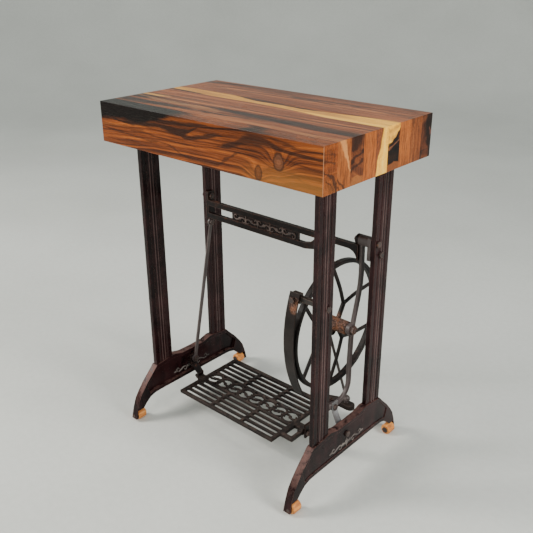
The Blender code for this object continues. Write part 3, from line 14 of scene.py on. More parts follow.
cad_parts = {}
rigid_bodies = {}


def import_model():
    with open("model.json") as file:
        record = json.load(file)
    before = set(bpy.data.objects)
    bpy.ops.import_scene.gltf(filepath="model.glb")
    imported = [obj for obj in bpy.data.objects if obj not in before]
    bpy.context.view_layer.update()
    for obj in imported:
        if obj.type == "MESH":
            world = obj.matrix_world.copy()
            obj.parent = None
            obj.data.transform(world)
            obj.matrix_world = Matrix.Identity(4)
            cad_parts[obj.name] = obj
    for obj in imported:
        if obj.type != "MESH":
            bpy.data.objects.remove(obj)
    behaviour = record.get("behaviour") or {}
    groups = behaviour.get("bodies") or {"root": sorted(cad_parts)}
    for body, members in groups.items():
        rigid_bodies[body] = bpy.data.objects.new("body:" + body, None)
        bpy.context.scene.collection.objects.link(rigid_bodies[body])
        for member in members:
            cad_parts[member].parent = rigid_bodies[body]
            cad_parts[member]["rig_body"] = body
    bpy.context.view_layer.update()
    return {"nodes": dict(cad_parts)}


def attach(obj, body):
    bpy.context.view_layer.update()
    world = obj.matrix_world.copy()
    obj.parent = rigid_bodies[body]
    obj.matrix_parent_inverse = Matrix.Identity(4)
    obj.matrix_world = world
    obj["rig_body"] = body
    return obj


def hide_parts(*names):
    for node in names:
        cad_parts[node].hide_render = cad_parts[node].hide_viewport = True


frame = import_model()


# ---------------------------------------------------------------- camera and light

CAMERA_PLACE = (1.03490432, -1.14004167, 1.1311386)
CAMERA_YAW = -0.727975
CAMERA_PITCH = 0.416341
CAMERA_ROLL = -0.0048978
CAMERA_LENS = 48.219
CAMERA_SENSOR = 36.0


def aimed_camera():
    forward = Vector(
        (
            math.sin(CAMERA_YAW) * math.cos(CAMERA_PITCH),
            math.cos(CAMERA_YAW) * math.cos(CAMERA_PITCH),
            -math.sin(CAMERA_PITCH),
        )
    )
    right = Vector((math.cos(CAMERA_YAW), -math.sin(CAMERA_YAW), 0.0))
    up = right.cross(forward)
    turned_right = right * math.cos(CAMERA_ROLL) + up * math.sin(CAMERA_ROLL)
    turned_up = up * math.cos(CAMERA_ROLL) - right * math.sin(CAMERA_ROLL)
    data = bpy.data.cameras.new("view")
    data.sensor_width = CAMERA_SENSOR
    data.lens = CAMERA_LENS
    data.clip_end = 100.0
    camera = bpy.data.objects.new("view", data)
    turn = Matrix((turned_right, turned_up, -forward)).transposed().to_4x4()
    camera.matrix_world = Matrix.Translation(CAMERA_PLACE) @ turn
    bpy.context.scene.collection.objects.link(camera)
    bpy.context.scene.camera = camera


def area_light(name, place, target, size, power, colour):
    data = bpy.data.lights.new(name, "AREA")
    data.shape = "RECTANGLE"
    data.size, data.size_y = size
    data.energy = power
    data.color = colour
    light = bpy.data.objects.new(name, data)
    light.location = place
    aim = Vector(target) - Vector(place)
    light.rotation_euler = aim.to_track_quat("-Z", "Y").to_euler()
    bpy.context.scene.collection.objects.link(light)


# ---------------------------------------------------------------- node trees


BEVEL_SAMPLES = 4


class Tree:
    """A material under construction: short calls that add nodes and return their outputs."""

    def __init__(self, name, roughness=0.5, specular=0.5):
        self.material = bpy.data.materials.new(name)
        self.material.use_nodes = True
        self.nodes = self.material.node_tree.nodes
        self.links = self.material.node_tree.links
        self.nodes.clear()
        output = self.nodes.new("ShaderNodeOutputMaterial")
        self.shader = self.nodes.new("ShaderNodeBsdfPrincipled")
        self.links.new(self.shader.outputs["BSDF"], output.inputs["Surface"])
        self.shader.inputs["Roughness"].default_value = roughness
        self.shader.inputs["Specular IOR Level"].default_value = specular

    def put(self, socket, value):
        """Links value where it is a node's output, and sets it where it is a number."""
        if isinstance(value, bpy.types.NodeSocket):
            self.links.new(value, socket)
        else:
            socket.default_value = value

    def sure(self, name, value):
        self.put(self.shader.inputs[name], value)

    def math(self, operation, a, b=0.0):
        node = self.nodes.new("ShaderNodeMath")
        node.operation = operation
        self.put(node.inputs[0], a)
        self.put(node.inputs[1], b)
        return node.outputs[0]

    def add(self, a, b):
        return self.math("ADD", a, b)

    def sub(self, a, b):
        return self.math("SUBTRACT", a, b)

    def mul(self, a, b):
        return self.math("MULTIPLY", a, b)

    def centred(self, value, amount):
        """A noise, which lies round 0.5, moved to lie round 0 and scaled."""
        return self.mul(self.sub(value, 0.5), amount)

    def within(self, value, low, high):
        return self.math("MINIMUM", self.math("MAXIMUM", value, low), high)

    def vector(self, operation, a, b=(0.0, 0.0, 0.0)):
        node = self.nodes.new("ShaderNodeVectorMath")
        node.operation = operation
        self.put(node.inputs[0], a)
        self.put(node.inputs[1], b)
        return node.outputs["Value" if operation in ("LENGTH", "DOT_PRODUCT") else "Vector"]

    def combine(self, x, y, z):
        node = self.nodes.new("ShaderNodeCombineXYZ")
        for socket, value in zip(node.inputs, (x, y, z)):
            self.put(socket, value)
        return node.outputs[0]

    def split(self, vector):
        node = self.nodes.new("ShaderNodeSeparateXYZ")
        self.links.new(vector, node.inputs[0])
        return node.outputs[0], node.outputs[1], node.outputs[2]

    def place(self):
        return self.nodes.new("ShaderNodeTexCoord").outputs["Object"]

    def noise(self, vector, detail=3.0, roughness=0.5, output="Fac"):
        node = self.nodes.new("ShaderNodeTexNoise")
        self.links.new(vector, node.inputs["Vector"])
        for name, value in (("Scale", 1.0), ("Detail", detail), ("Roughness", roughness)):
            node.inputs[name].default_value = value
        return node.outputs[output]

    def line_noise(self, value, detail, roughness):
        node = self.nodes.new("ShaderNodeTexNoise")
        node.noise_dimensions = "1D"
        self.links.new(value, node.inputs["W"])
        for name, value in (("Scale", 1.0), ("Detail", detail), ("Roughness", roughness)):
            node.inputs[name].default_value = value
        return node.outputs["Fac"]

    def stretched(self, vector, stretch, shift=(0.0, 0.0, 0.0)):
        return self.vector("ADD", self.vector("MULTIPLY", vector, stretch), shift)

    def step(self, value, low, high):
        """0 below low, 1 above high, smooth between; the other way round where low is above high."""
        node = self.nodes.new("ShaderNodeMapRange")
        node.interpolation_type = "SMOOTHSTEP"
        edges = (high, low, 1.0, 0.0) if low > high else (low, high, 0.0, 1.0)
        for socket, setting in zip(list(node.inputs)[:5], (value, *edges)):
            self.put(socket, setting)
        return node.outputs[0]

    def remap(self, value, low, high, out_low, out_high):
        node = self.nodes.new("ShaderNodeMapRange")
        for socket, setting in zip(list(node.inputs)[:5], (value, low, high, out_low, out_high)):
            self.put(socket, setting)
        return node.outputs[0]

    def ramp(self, value, stops):
        node = self.nodes.new("ShaderNodeValToRGB")
        self.links.new(value, node.inputs[0])
        elements = node.color_ramp.elements
        while len(elements) > len(stops):
            elements.remove(elements[-1])
        while len(elements) < len(stops):
            elements.new(1.0)
        for element, (at, colour) in zip(elements, stops):
            element.position = at
            element.color = (*colour, 1.0)
        return node.outputs[0]

    def curve(self, value, points):
        """A smooth curve through points (x, y), both from 0 to 1."""
        node = self.nodes.new("ShaderNodeFloatCurve")
        self.links.new(value, node.inputs["Value"])
        line = node.mapping.curves[0]
        line.points[0].location = points[0]
        line.points[1].location = points[-1]
        for point in points[1:-1]:
            line.points.new(*point)
        for point in line.points:
            point.handle_type = "AUTO_CLAMPED"
        node.mapping.update()
        return node.outputs[0]

    def mix(self, share, a, b, blend="MIX"):
        node = self.nodes.new("ShaderNodeMix")
        node.data_type = "RGBA"
        node.blend_type = blend
        self.put(node.inputs[0], share)
        for socket, value in ((node.inputs[6], a), (node.inputs[7], b)):
            self.put(socket, value if isinstance(value, bpy.types.NodeSocket) else (*value, 1.0))
        return node.outputs[2]

    def bump(self, height, strength, distance):
        node = self.nodes.new("ShaderNodeBump")
        node.inputs["Strength"].default_value = strength
        node.inputs["Distance"].default_value = distance
        self.links.new(height, node.inputs["Height"])
        self.links.new(node.outputs[0], self.shader.inputs["Normal"])

    def edge(self, radius):
        """How much the surface turns within radius: 0 on a flat, up to about 0.3 on a square edge."""
        bevel = self.nodes.new("ShaderNodeBevel")
        bevel.samples = BEVEL_SAMPLES
        bevel.inputs["Radius"].default_value = radius
        true = self.nodes.new("ShaderNodeNewGeometry").outputs["Normal"]
        return self.sub(1.0, self.vector("DOT_PRODUCT", bevel.outputs[0], true))

    def normal_up(self):
        """How far a face looks up, in the rest pose: 1 straight up, 0 sideways."""
        return self.split(self.nodes.new("ShaderNodeTexCoord").outputs["Normal"])[2]


# ---------------------------------------------------------------- wood

TOP_LOW, TOP_HIGH = 0.735, 0.826
TOP_HALF_X, TOP_HALF_Y = 0.315, 0.1835
STAVES = 9
STAVE_WIDTH = 2 * TOP_HALF_Y / STAVES

# colour ramps: (tone, colour), tone from 0 dark to 1 light
WOOD_STOPS = [
    (0.00, (0.006, 0.003, 0.002)),
    (0.16, (0.018, 0.006, 0.003)),
    (0.30, (0.065, 0.016, 0.005)),
    (0.45, (0.150, 0.036, 0.008)),
    (0.60, (0.260, 0.066, 0.012)),
    (0.78, (0.400, 0.118, 0.020)),
    (1.00, (0.560, 0.220, 0.050)),
]
ROSY_STOPS = [
    (0.00, (0.010, 0.006, 0.006)),
    (0.18, (0.026, 0.012, 0.010)),
    (0.34, (0.072, 0.022, 0.011)),
    (0.50, (0.165, 0.047, 0.018)),
    (0.66, (0.285, 0.084, 0.028)),
    (0.82, (0.410, 0.140, 0.045)),
    (1.00, (0.540, 0.240, 0.085)),
]
SAP_STOPS = [
    (0.0, (0.300, 0.090, 0.014)),
    (0.35, (0.520, 0.220, 0.036)),
    (0.7, (0.960, 0.480, 0.050)),
    (1.0, (0.980, 0.640, 0.130)),
]
HEART_BLACK = (0.006, 0.0035, 0.003)
HEART_SHARE = 0.93
GREY_BLACK = (0.014, 0.011, 0.011)
INK = (0.020, 0.008, 0.005)
DARK = (0.022, 0.009, 0.006)
PORE = (0.03, 0.012, 0.006)
KNOT_RIM = (0.030, 0.012, 0.006)
GOLDEN = (0.50, 0.190, 0.035)
PALE_STREAK = (0.50, 0.215, 0.075)
# painted highlight down the eased corner between the front and the right end of the top
CORNER_HIGHLIGHT = (0.46, 0.24, 0.13)

# how much each noise varies along the grain (X) and across it, per metre
WANDER_STRETCH, WANDER = (2.6, 11.0, 11.0), 0.024
RIPPLE_STRETCH, RIPPLE = (16.0, 70.0, 70.0), 0.003
DRIFT_STRETCH, DRIFT_SHARE = (3.5, 16.0, 16.0), 0.45
STREAK_STRETCH, STREAK_SHARE = (5.0, 150.0, 150.0), 0.55
FIBRE_STRETCH, FIBRE_SHARE = (14.0, 620.0, 620.0), 0.18
HEART_STRETCH = (3.2, 26.0, 26.0)
RAGGED_DETAIL, RAGGED_ROUGHNESS = 4.0, 0.6


def stave_low(number):
    return -TOP_HALF_Y + (number - 1) * STAVE_WIDTH


def grain(tree, seed, pith, lean, figure, tone, contrast, knots):
    """One stave's tone, 0 dark to 1 light, from rings round a wandering pith.

    pith is its (y, z) at X = 0 and lean how it drifts along X, figure is the rings' rate per metre,
    and knots are (x, z, width, height, lift) places that bend the rings.
    Returns the tone, the warped place and the fibre noise.
    """
    place = tree.place()
    shift = (seed * 3.17, seed * 1.73, seed * 2.31)

    def warp(stretch, amount):
        cloud = tree.noise(tree.stretched(place, stretch, shift), detail=2.0, output="Color")
        cloud = tree.vector("SUBTRACT", cloud, (0.5, 0.5, 0.5))
        return tree.vector("MULTIPLY", cloud, (0.0, amount, amount))

    bent = tree.vector("ADD", place, warp(WANDER_STRETCH, WANDER))
    bent = tree.vector("ADD", bent, warp(RIPPLE_STRETCH, RIPPLE))
    x, y, z = tree.split(bent)
    off_y = tree.sub(tree.sub(y, pith[0]), tree.mul(x, lean[0]))
    off_z = tree.sub(tree.sub(z, pith[1]), tree.mul(x, lean[1]))
    distance = tree.vector("LENGTH", tree.combine(0.0, off_y, off_z))
    for at_x, at_z, wide, tall, lift in knots:
        dx = tree.mul(tree.sub(x, at_x), 1 / wide)
        dz = tree.mul(tree.sub(z, at_z), 1 / tall)
        near = tree.math("EXPONENT", tree.mul(tree.add(tree.mul(dx, dx), tree.mul(dz, dz)), -1.0))
        distance = tree.add(distance, tree.mul(near, lift))
    rings = tree.line_noise(tree.add(tree.mul(distance, figure), seed * 7.3), detail=4.0, roughness=0.62)
    streaks = tree.noise(tree.stretched(bent, STREAK_STRETCH, shift), roughness=0.6)
    fibre = tree.noise(tree.stretched(place, FIBRE_STRETCH, shift), detail=2.0)
    drift = tree.noise(tree.stretched(bent, DRIFT_STRETCH, shift), detail=2.0)
    value = tree.add(tone, tree.centred(rings, contrast))
    value = tree.add(value, tree.centred(drift, DRIFT_SHARE))
    value = tree.add(value, tree.centred(streaks, STREAK_SHARE))
    value = tree.add(value, tree.centred(fibre, FIBRE_SHARE))
    return value, bent, fibre


def along_top(tree, x):
    """X from 0 at the top's left end to 1 at its right end."""
    return tree.mul(tree.add(x, TOP_HALF_X), 1 / (2 * TOP_HALF_X))


def up_side(tree, z):
    """Z from 0 at the top's underside to 1 at its upper face."""
    return tree.mul(tree.sub(z, TOP_LOW), 1 / (TOP_HIGH - TOP_LOW))


def across_stave(tree, y, number):
    """Y from 0 at a stave's front joint to 1 at its rear joint."""
    return tree.mul(tree.sub(y, stave_low(number)), 1 / STAVE_WIDTH)


def ragged(tree, place, stretch, shift, amount):
    """The wobble that makes a mark's outline ragged."""
    cloud = tree.noise(tree.stretched(place, stretch, shift), RAGGED_DETAIL, RAGGED_ROUGHNESS)
    return tree.centred(cloud, amount)


def band(tree, along, across, middle, width, wobble):
    """A soft streak: its middle and its width follow curves over along, both places run 0 to 1."""
    centre = tree.curve(along, middle)
    half = tree.math("MAXIMUM", tree.mul(tree.curve(along, width), 0.5), 0.0001)
    off = tree.math("ABSOLUTE", tree.sub(tree.add(across, wobble), centre))
    return tree.step(tree.math("DIVIDE", off, half), 1.25, 0.45)


def painted(tree, colour, along, across, wobble, bands, where=None):
    """Bands (middle, width, strength, colour) over a colour, kept to the places where where is 1."""
    for middle, width, strength, shade in bands:
        share = tree.mul(band(tree, along, across, middle, width, wobble), strength)
        if where:
            share = tree.mul(share, where)
        colour = tree.mix(share, colour, shade)
    return colour


def finish_wood(tree, colour, fibre, value, gloss):
    """Pores, colour, roughness and relief of oiled wood."""
    pores = tree.step(fibre, 0.36, 0.28)
    tree.sure("Base Color", tree.mix(tree.mul(pores, 0.45), colour, PORE))
    rough = tree.add(tree.centred(fibre, 0.22), gloss)
    tree.sure("Roughness", tree.math("MAXIMUM", tree.add(rough, tree.mul(pores, 0.15)), 0.12))
    tree.bump(tree.sub(tree.add(fibre, tree.mul(value, 0.4)), tree.mul(pores, 0.6)), 0.15, 0.0003)


END_START, END_FULL = TOP_HALF_X - 0.0012, TOP_HALF_X - 0.0004
END_GRAIN_STRETCH = (1.0, 260.0, 30.0)
ARRIS_START, ARRIS_FULL = 0.0011, 0.0005


def end_face(tree, colour, bent, number, tint, share, bands):
    """The right end of a stave: a tint with vertical grain, then bands that follow the height."""
    place = tree.place()
    on_end = tree.step(tree.split(place)[0], END_START, END_FULL)
    _, y, z = tree.split(bent)
    if share:
        tone = tree.noise(tree.stretched(bent, END_GRAIN_STRETCH, (2.0, number, 1.0)), roughness=0.6)
        shaded = tree.mix(tree.step(tone, 0.36, 0.60), tuple(0.42 * c for c in tint), tint)
        colour = tree.mix(tree.mul(on_end, share), colour, shaded)
    wobble = ragged(tree, place, (1.0, 90.0, 55.0), (number, 2.0, 5.0), 0.5)
    height = up_side(tree, z)
    return painted(tree, colour, height, across_stave(tree, y, number), wobble, bands, on_end)


def painted_corner_highlight(tree, colour):
    """A painted highlight: the pale line down the eased corner between the front and the right end."""
    x, y, _ = tree.split(tree.place())
    on_x = tree.step(x, TOP_HALF_X - ARRIS_START, TOP_HALF_X - ARRIS_FULL)
    on_y = tree.step(y, -TOP_HALF_Y + ARRIS_START, -TOP_HALF_Y + ARRIS_FULL)
    return tree.mix(tree.mul(tree.mul(on_x, on_y), 0.75), colour, CORNER_HIGHLIGHT)


def walnut(number, figure, knots=(), heart=None, sap=None, marks=None, gloss=0.30, stops=ROSY_STOPS):
    """One stave's wood. heart is (threshold, softness) of its near-black parts, sap says where it is pale,
    and marks paints over the grain."""
    tree = Tree(f"walnut_{number}", specular=0.15)
    value, bent, fibre = grain(tree, float(number), *figure, knots)
    colour = tree.ramp(tree.within(value, 0.0, 1.0), stops)
    if heart:
        shift = (number * 1.3 + 9.0, number * 2.9, number * 0.7)
        cloud = tree.noise(tree.stretched(bent, HEART_STRETCH, shift), detail=4.0, roughness=0.62)
        dark = tree.step(cloud, heart[0], heart[0] + heart[1])
        colour = tree.mix(tree.mul(dark, HEART_SHARE), colour, HEART_BLACK)
    if marks:
        colour = marks(tree, colour, bent)
    if sap:
        pale = tree.ramp(tree.add(tree.centred(value, 0.9), 0.62), SAP_STOPS)
        colour = tree.mix(sap(tree, bent), colour, pale)
    if number in END_FACES:
        colour = end_face(tree, colour, bent, number, *END_FACES[number])
    # the front stave gets the painted highlight down its front-right corner
    if number == 1:
        colour = painted_corner_highlight(tree, colour)
    finish_wood(tree, colour, fibre, value, gloss)
    return tree.material


# Marks on the staves. A band is (middle, width, strength, colour); middle and width are curves of
# (along, across) points. On the front face along is X and across the height, on the upper face X and
# the place across the stave, on the end face the height and the place across the stave.
FRONT_STREAKS = [
    ([(0, 0.7), (0.16, 0.62), (0.25, 0.65), (0.33, 0.68), (0.4, 0.66), (0.45, 0.72), (0.5, 0.86),
      (1, 0.9)],
     [(0, 0), (0.1, 0.04), (0.18, 0.16), (0.3, 0.22), (0.4, 0.24), (0.47, 0.1), (0.52, 0),
      (1, 0)], 0.96, INK),
    ([(0, 0.88), (0.28, 0.82), (0.38, 0.86), (0.48, 0.93), (0.56, 0.95), (1, 0.95)],
     [(0, 0), (0.26, 0.02), (0.36, 0.12), (0.46, 0.1), (0.56, 0.02), (0.6, 0), (1, 0)], 0.85, INK),
    ([(0, 0.55), (0.43, 0.57), (0.5, 0.65), (0.54, 0.72), (0.61, 0.82), (1, 0.85)],
     [(0, 0), (0.41, 0), (0.44, 0.1), (0.55, 0.14), (0.6, 0.05), (0.64, 0), (1, 0)], 0.85, INK),
    ([(0, 0.4), (0.6, 0.56), (0.67, 0.71), (0.73, 0.84), (0.8, 0.83), (0.88, 0.75), (1, 0.72)],
     [(0, 0), (0.57, 0), (0.63, 0.14), (0.72, 0.2), (0.82, 0.12), (0.9, 0.08), (1, 0.06)], 0.8, INK),
    ([(0, 0.43), (0.12, 0.35), (0.22, 0.29), (0.37, 0.27), (0.45, 0.12), (0.55, 0.12), (0.63, 0.3),
      (0.7, 0.5), (1, 0.5)],
     [(0, 0.05), (0.2, 0.06), (0.36, 0.04), (0.46, 0.07), (0.6, 0.08), (0.68, 0.04), (0.72, 0),
      (1, 0)], 0.6, INK),
    ([(0, 0.52), (0.15, 0.5), (0.3, 0.44), (0.45, 0.4), (0.6, 0.4), (1, 0.4)],
     [(0, 0.06), (0.12, 0.08), (0.3, 0.05), (0.42, 0.04), (0.52, 0), (1, 0)], 0.5, INK),
    ([(0, 0.9), (0.7, 0.95), (0.82, 0.93), (0.9, 0.86), (1, 0.84)],
     [(0, 0), (0.7, 0), (0.8, 0.05), (0.9, 0.05), (1, 0.04)], 0.6, INK),
    ([(0, 0.5), (0.84, 0.62), (0.9, 0.56), (1, 0.5)],
     [(0, 0), (0.82, 0), (0.88, 0.05), (0.94, 0.04), (1, 0.05)], 0.5, INK),
    ([(0, 0.2), (0.8, 0.33), (0.88, 0.3), (0.94, 0.2), (1, 0.16)],
     [(0, 0), (0.76, 0), (0.82, 0.06), (0.92, 0.05), (1, 0.05)], 0.5, INK),
]

SECOND_STREAKS = [
    ([(0, 0.5), (0.25, 0.5), (0.5, 0.75), (1, 0.9)],
     [(0, 1.3), (0.15, 1), (0.3, 0.5), (0.5, 0.35), (0.62, 0.15), (0.75, 0), (1, 0)], 0.9, GREY_BLACK),
    ([(0, 0.2), (0.3, 0.2), (0.6, 0.35), (1, 0.4)],
     [(0, 0), (0.35, 0.1), (0.5, 0.3), (0.7, 0.3), (1, 0.4)], 0.4, PALE_STREAK),
]
THIRD_STREAKS = [
    ([(0, 0.3), (0.2, 0.4), (0.45, 0.65), (0.7, 0.5), (1, 0.5)],
     [(0, 0.5), (0.2, 0.3), (0.4, 0.35), (0.6, 0.7), (0.8, 0.9), (1, 1.1)], 0.85, GREY_BLACK),
    ([(0, 0.7), (0.3, 0.25), (0.45, 0.25), (1, 0.3)],
     [(0, 0.2), (0.15, 0.3), (0.35, 0.35), (0.5, 0.1), (0.6, 0), (1, 0)], 0.45, PALE_STREAK),
]
FOURTH_STREAKS = [
    ([(0, 0.4), (0.3, 0.6), (0.6, 0.4), (1, 0.6)],
     [(0, 0.3), (0.25, 0.4), (0.45, 0.15), (0.7, 0.3), (1, 0.1)], 0.7, GREY_BLACK),
    ([(0, 0.1), (0.08, 0.15), (0.15, 0.4), (1, 0.5)],
     [(0, 0.5), (0.05, 0.55), (0.1, 0.35), (0.17, 0), (1, 0)], 0.8, (0.62, 0.32, 0.07)),
]
EIGHTH_STREAKS = [
    ([(0, 0.6), (0.3, 0.3), (0.6, 0.7), (1, 0.3)],
     [(0, 0), (0.3, 0.12), (0.5, 0.18), (0.8, 0.15), (1, 0.2)], 0.75, GREY_BLACK),
    ([(0, 0.1), (0.4, 0.8), (0.8, 0.2), (1, 0.8)],
     [(0, 0.1), (0.4, 0.14), (0.7, 0.1), (1, 0.12)], 0.6, GREY_BLACK),
]

# stave: (tint, share of the tint, bands)
END_FACES = {
    1: ((0.3, 0.072, 0.016), 0.66, [
        ([(0, 1), (0.12, 0.95), (0.3, 0.7), (0.42, 0.35), (0.5, 0), (1, 0)],
         [(0, 0.2), (0.2, 0.22), (0.4, 0.3), (0.5, 0.2), (0.54, 0), (1, 0)], 0.75, DARK),
        ([(0, 0.75), (0.12, 0.7), (0.22, 0.5), (0.32, 0.15), (1, 0)],
         [(0, 0.1), (0.15, 0.16), (0.26, 0.18), (0.33, 0), (1, 0)], 0.6, DARK),
        ([(0, 0.9), (0.56, 0.9), (0.64, 0.5), (0.7, 0.1), (1, 0.1)],
         [(0, 0), (0.56, 0), (0.6, 0.35), (0.68, 0.4), (0.73, 0), (1, 0)], 0.6, DARK),
        ([(0, 0.8), (0.72, 0.8), (0.8, 0.3), (0.84, 0), (1, 0)],
         [(0, 0), (0.7, 0), (0.75, 0.3), (0.8, 0.35), (0.85, 0), (1, 0)], 0.5, DARK),
    ]),
    2: ((0.36, 0.098, 0.018), 0.72, [
        ([(0, 0.9), (0.35, 0.95), (0.6, 0.78), (0.8, 0.58), (1, 0.42)],
         [(0, 0), (0.32, 0.02), (0.6, 0.2), (0.8, 0.34), (1, 0.48)], 0.85, (0.6, 0.255, 0.08)),
        ([(0, 0.65), (0.12, 0.42), (0.26, 0.12), (1, 0)],
         [(0, 0.24), (0.12, 0.22), (0.28, 0.1), (0.32, 0), (1, 0)], 0.75, DARK),
        ([(0, 0.3), (0.1, 0.1), (1, 0)], [(0, 0.16), (0.1, 0.1), (0.15, 0), (1, 0)], 0.6, DARK),
    ]),
    3: ((0.175, 0.046, 0.013), 0.6, [
        ([(0, 0), (0.26, 0), (0.42, 0.5), (0.52, 1), (1, 1)],
         [(0, 0), (0.24, 0), (0.3, 0.35), (0.5, 0.4), (0.56, 0), (1, 0)], 0.75, DARK),
        ([(0, 0), (0.46, 0), (0.6, 0.5), (0.7, 1), (1, 1)],
         [(0, 0), (0.42, 0), (0.48, 0.45), (0.68, 0.5), (0.74, 0), (1, 0)], 0.85, DARK),
        ([(0, 0.2), (0.66, 0.2), (0.84, 0.35), (1, 0.5)],
         [(0, 0), (0.64, 0), (0.72, 0.7), (0.88, 1.1), (1, 1.6)], 0.85, DARK),
        ([(0, 0.4), (0.2, 0.5), (1, 0.5)],
         [(0, 1.4), (0.16, 0.9), (0.24, 0), (1, 0)], 0.55, (0.4, 0.14, 0.036)),
    ]),
    4: ((0.46, 0.122, 0.022), 0.66, []),
    6: (None, 0, [
        ([(0, 0.5), (1, 0.5)],
         [(0, 0), (0.16, 0.6), (0.24, 1.7), (0.6, 1.8), (0.68, 1), (0.74, 0), (1, 0)], 0.95, HEART_BLACK),
        ([(0, 0), (0.5, 0), (0.62, 0.5), (0.72, 1), (1, 1)],
         [(0, 0), (0.48, 0), (0.53, 0.3), (0.7, 0.3), (0.74, 0), (1, 0)], 0.75, (0.24, 0.085, 0.04)),
        ([(0, 0.5), (1, 0.5)],
         [(0, 1.8), (0.14, 1.5), (0.22, 0), (1, 0)], 0.65, (0.3, 0.088, 0.024)),
    ]),
    7: ((0.44, 0.12, 0.02), 0.62, []),
    8: ((0.225, 0.06, 0.014), 0.6, []),
    9: ((0.08, 0.021, 0.008), 0.72, [
        ([(0, 0.9), (0.4, 0.8), (0.7, 0.72), (1, 0.7)],
         [(0, 0.3), (0.25, 0.3), (0.4, 0.8), (0.85, 1), (1, 0.6)], 0.92, HEART_BLACK),
        ([(0, 0.1), (0.16, 0.1), (0.24, 0.6), (0.3, 1), (1, 1)],
         [(0, 0.2), (0.14, 0.3), (0.27, 0.35), (0.32, 0), (1, 0)], 0.8, DARK),
        ([(0, 0.7), (0.55, 0.7), (0.62, 0.8), (0.72, 0.72), (1, 0.7)],
         [(0, 0), (0.54, 0), (0.62, 0.22), (0.7, 0.2), (0.76, 0), (1, 0)], 0.6, (0.2, 0.075, 0.05)),
    ]),
}
# x, z, half width, half height, heart colour
KNOTS = [
    (0.213, 0.780, 0.0125, 0.0165, (0.110, 0.044, 0.022)),
    (0.163, 0.752, 0.0085, 0.015, (0.075, 0.024, 0.008)),
]
BLACK_EDGE = [(0, 0.62), (0.1, 0.66), (0.2, 0.66), (0.27, 0.76), (0.36, 0.93), (0.46, 1), (1, 1)]


def front_marks(tree, colour, bent):
    """The front stave: dark wavy streaks, a golden corner, black over the upper left and two knots."""
    x, y, z = tree.split(bent)
    x01, z01 = along_top(tree, x), up_side(tree, z)
    wobble = ragged(tree, bent, (9.0, 60.0, 60.0), (4.0, 2.0, 7.0), 0.24)
    colour = painted(tree, colour, x01, z01, wobble, FRONT_STREAKS)
    golden = tree.mul(tree.step(x01, 0.62, 0.86), tree.step(z01, 0.55, 0.10))
    colour = tree.mix(tree.mul(golden, 0.40), colour, GOLDEN)
    black = tree.step(tree.sub(tree.add(z01, wobble), tree.curve(x01, BLACK_EDGE)), -0.05, 0.05)
    colour = tree.mix(tree.mul(black, tree.step(x01, 0.48, 0.34)), colour, HEART_BLACK)
    on_front = tree.step(y, -0.150, -0.176)
    place = tree.split(tree.place())
    for at_x, at_z, wide, tall, heart in KNOTS:
        dx = tree.mul(tree.sub(place[0], at_x), 1 / wide)
        dz = tree.mul(tree.sub(place[2], at_z), 1 / tall)
        reach = tree.math("SQRT", tree.add(tree.mul(dx, dx), tree.mul(dz, dz)))
        reach = tree.add(reach, tree.mul(wobble, 2.6))
        rings = tree.math("SINE", tree.add(tree.mul(reach, 8.5), tree.mul(wobble, 12.0)))
        rings = tree.step(rings, -0.6, 0.9)
        inner = tree.mul(tree.step(reach, 1.0, 0.75), on_front)
        outside = tree.math("ABSOLUTE", tree.sub(reach, 0.95))
        rim = tree.mul(tree.step(outside, 0.34, 0.04), on_front)
        rim = tree.mul(rim, tree.add(0.30, tree.mul(rings, 0.45)))
        heartwood = tree.mix(rings, heart, tuple(1.6 * c for c in heart))
        colour = tree.mix(tree.mul(inner, 0.70), colour, heartwood)
        colour = tree.mix(rim, colour, KNOT_RIM)
    return colour


def upper_marks(number, streaks):
    """A painter of dark and pale streaks on a stave's upper face."""

    def paint(tree, colour, bent):
        x, y, z = tree.split(bent)
        wobble = ragged(tree, bent, (7.0, 90.0, 90.0), (1.0, 5.0, 2.0), 0.9)
        near_top = tree.step(z, TOP_HIGH - 0.045, TOP_HIGH - 0.012)
        across = across_stave(tree, y, number)
        return painted(tree, colour, along_top(tree, x), across, wobble, streaks, near_top)

    return paint


SIXTH_REAR = [(0, 0.8), (0.1, 0.98), (0.25, 0.95), (0.38, 0.7), (0.5, 0.45), (0.62, 0.42), (0.75, 0.6),
              (0.88, 0.85), (1, 0.98)]
SIXTH_FRONT = [(0, 0.45), (0.08, 0.3), (0.2, 0.12), (0.35, 0), (1, 0)]
SIXTH_DEPTH = 0.030
FIFTH_FRONT = [(0, 1), (0.45, 0.95), (0.62, 0.8), (0.8, 0.55), (1, 0.42)]


def sap_sixth(tree, bent):
    """Pale wood down the top of the sixth stave, wider towards the right end and thin in depth."""
    x, y, z = tree.split(bent)
    x01 = along_top(tree, x)
    y01 = tree.add(across_stave(tree, y, 6), ragged(tree, bent, (8.0, 70.0, 70.0), (3.0, 1.0, 6.0), 0.5))
    depth = tree.mul(tree.sub(TOP_HIGH, z), 1 / SIXTH_DEPTH)
    rear = tree.add(tree.curve(x01, SIXTH_REAR), 0.04)
    rear = tree.sub(rear, tree.mul(depth, tree.add(0.4, tree.mul(depth, 0.5))))
    front = tree.curve(x01, SIXTH_FRONT)
    return tree.mul(
        tree.step(tree.sub(rear, y01), -0.02, 0.05), tree.step(tree.sub(y01, front), -0.16, -0.05)
    )


def sap_fifth(tree, bent):
    """The fifth stave is sapwood through its depth at the right end, and browner to the left and front."""
    x, y, z = tree.split(bent)
    depth = tree.mul(tree.sub(TOP_HIGH, z), 1 / (TOP_HIGH - TOP_LOW))
    wobble = ragged(tree, bent, (8.0, 60.0, 60.0), (5.0, 2.0, 1.0), 0.22)
    front = tree.sub(tree.curve(along_top(tree, x), FIFTH_FRONT), tree.mul(depth, 0.42))
    return tree.step(tree.sub(tree.add(across_stave(tree, y, 5), wobble), front), -0.03, 0.06)


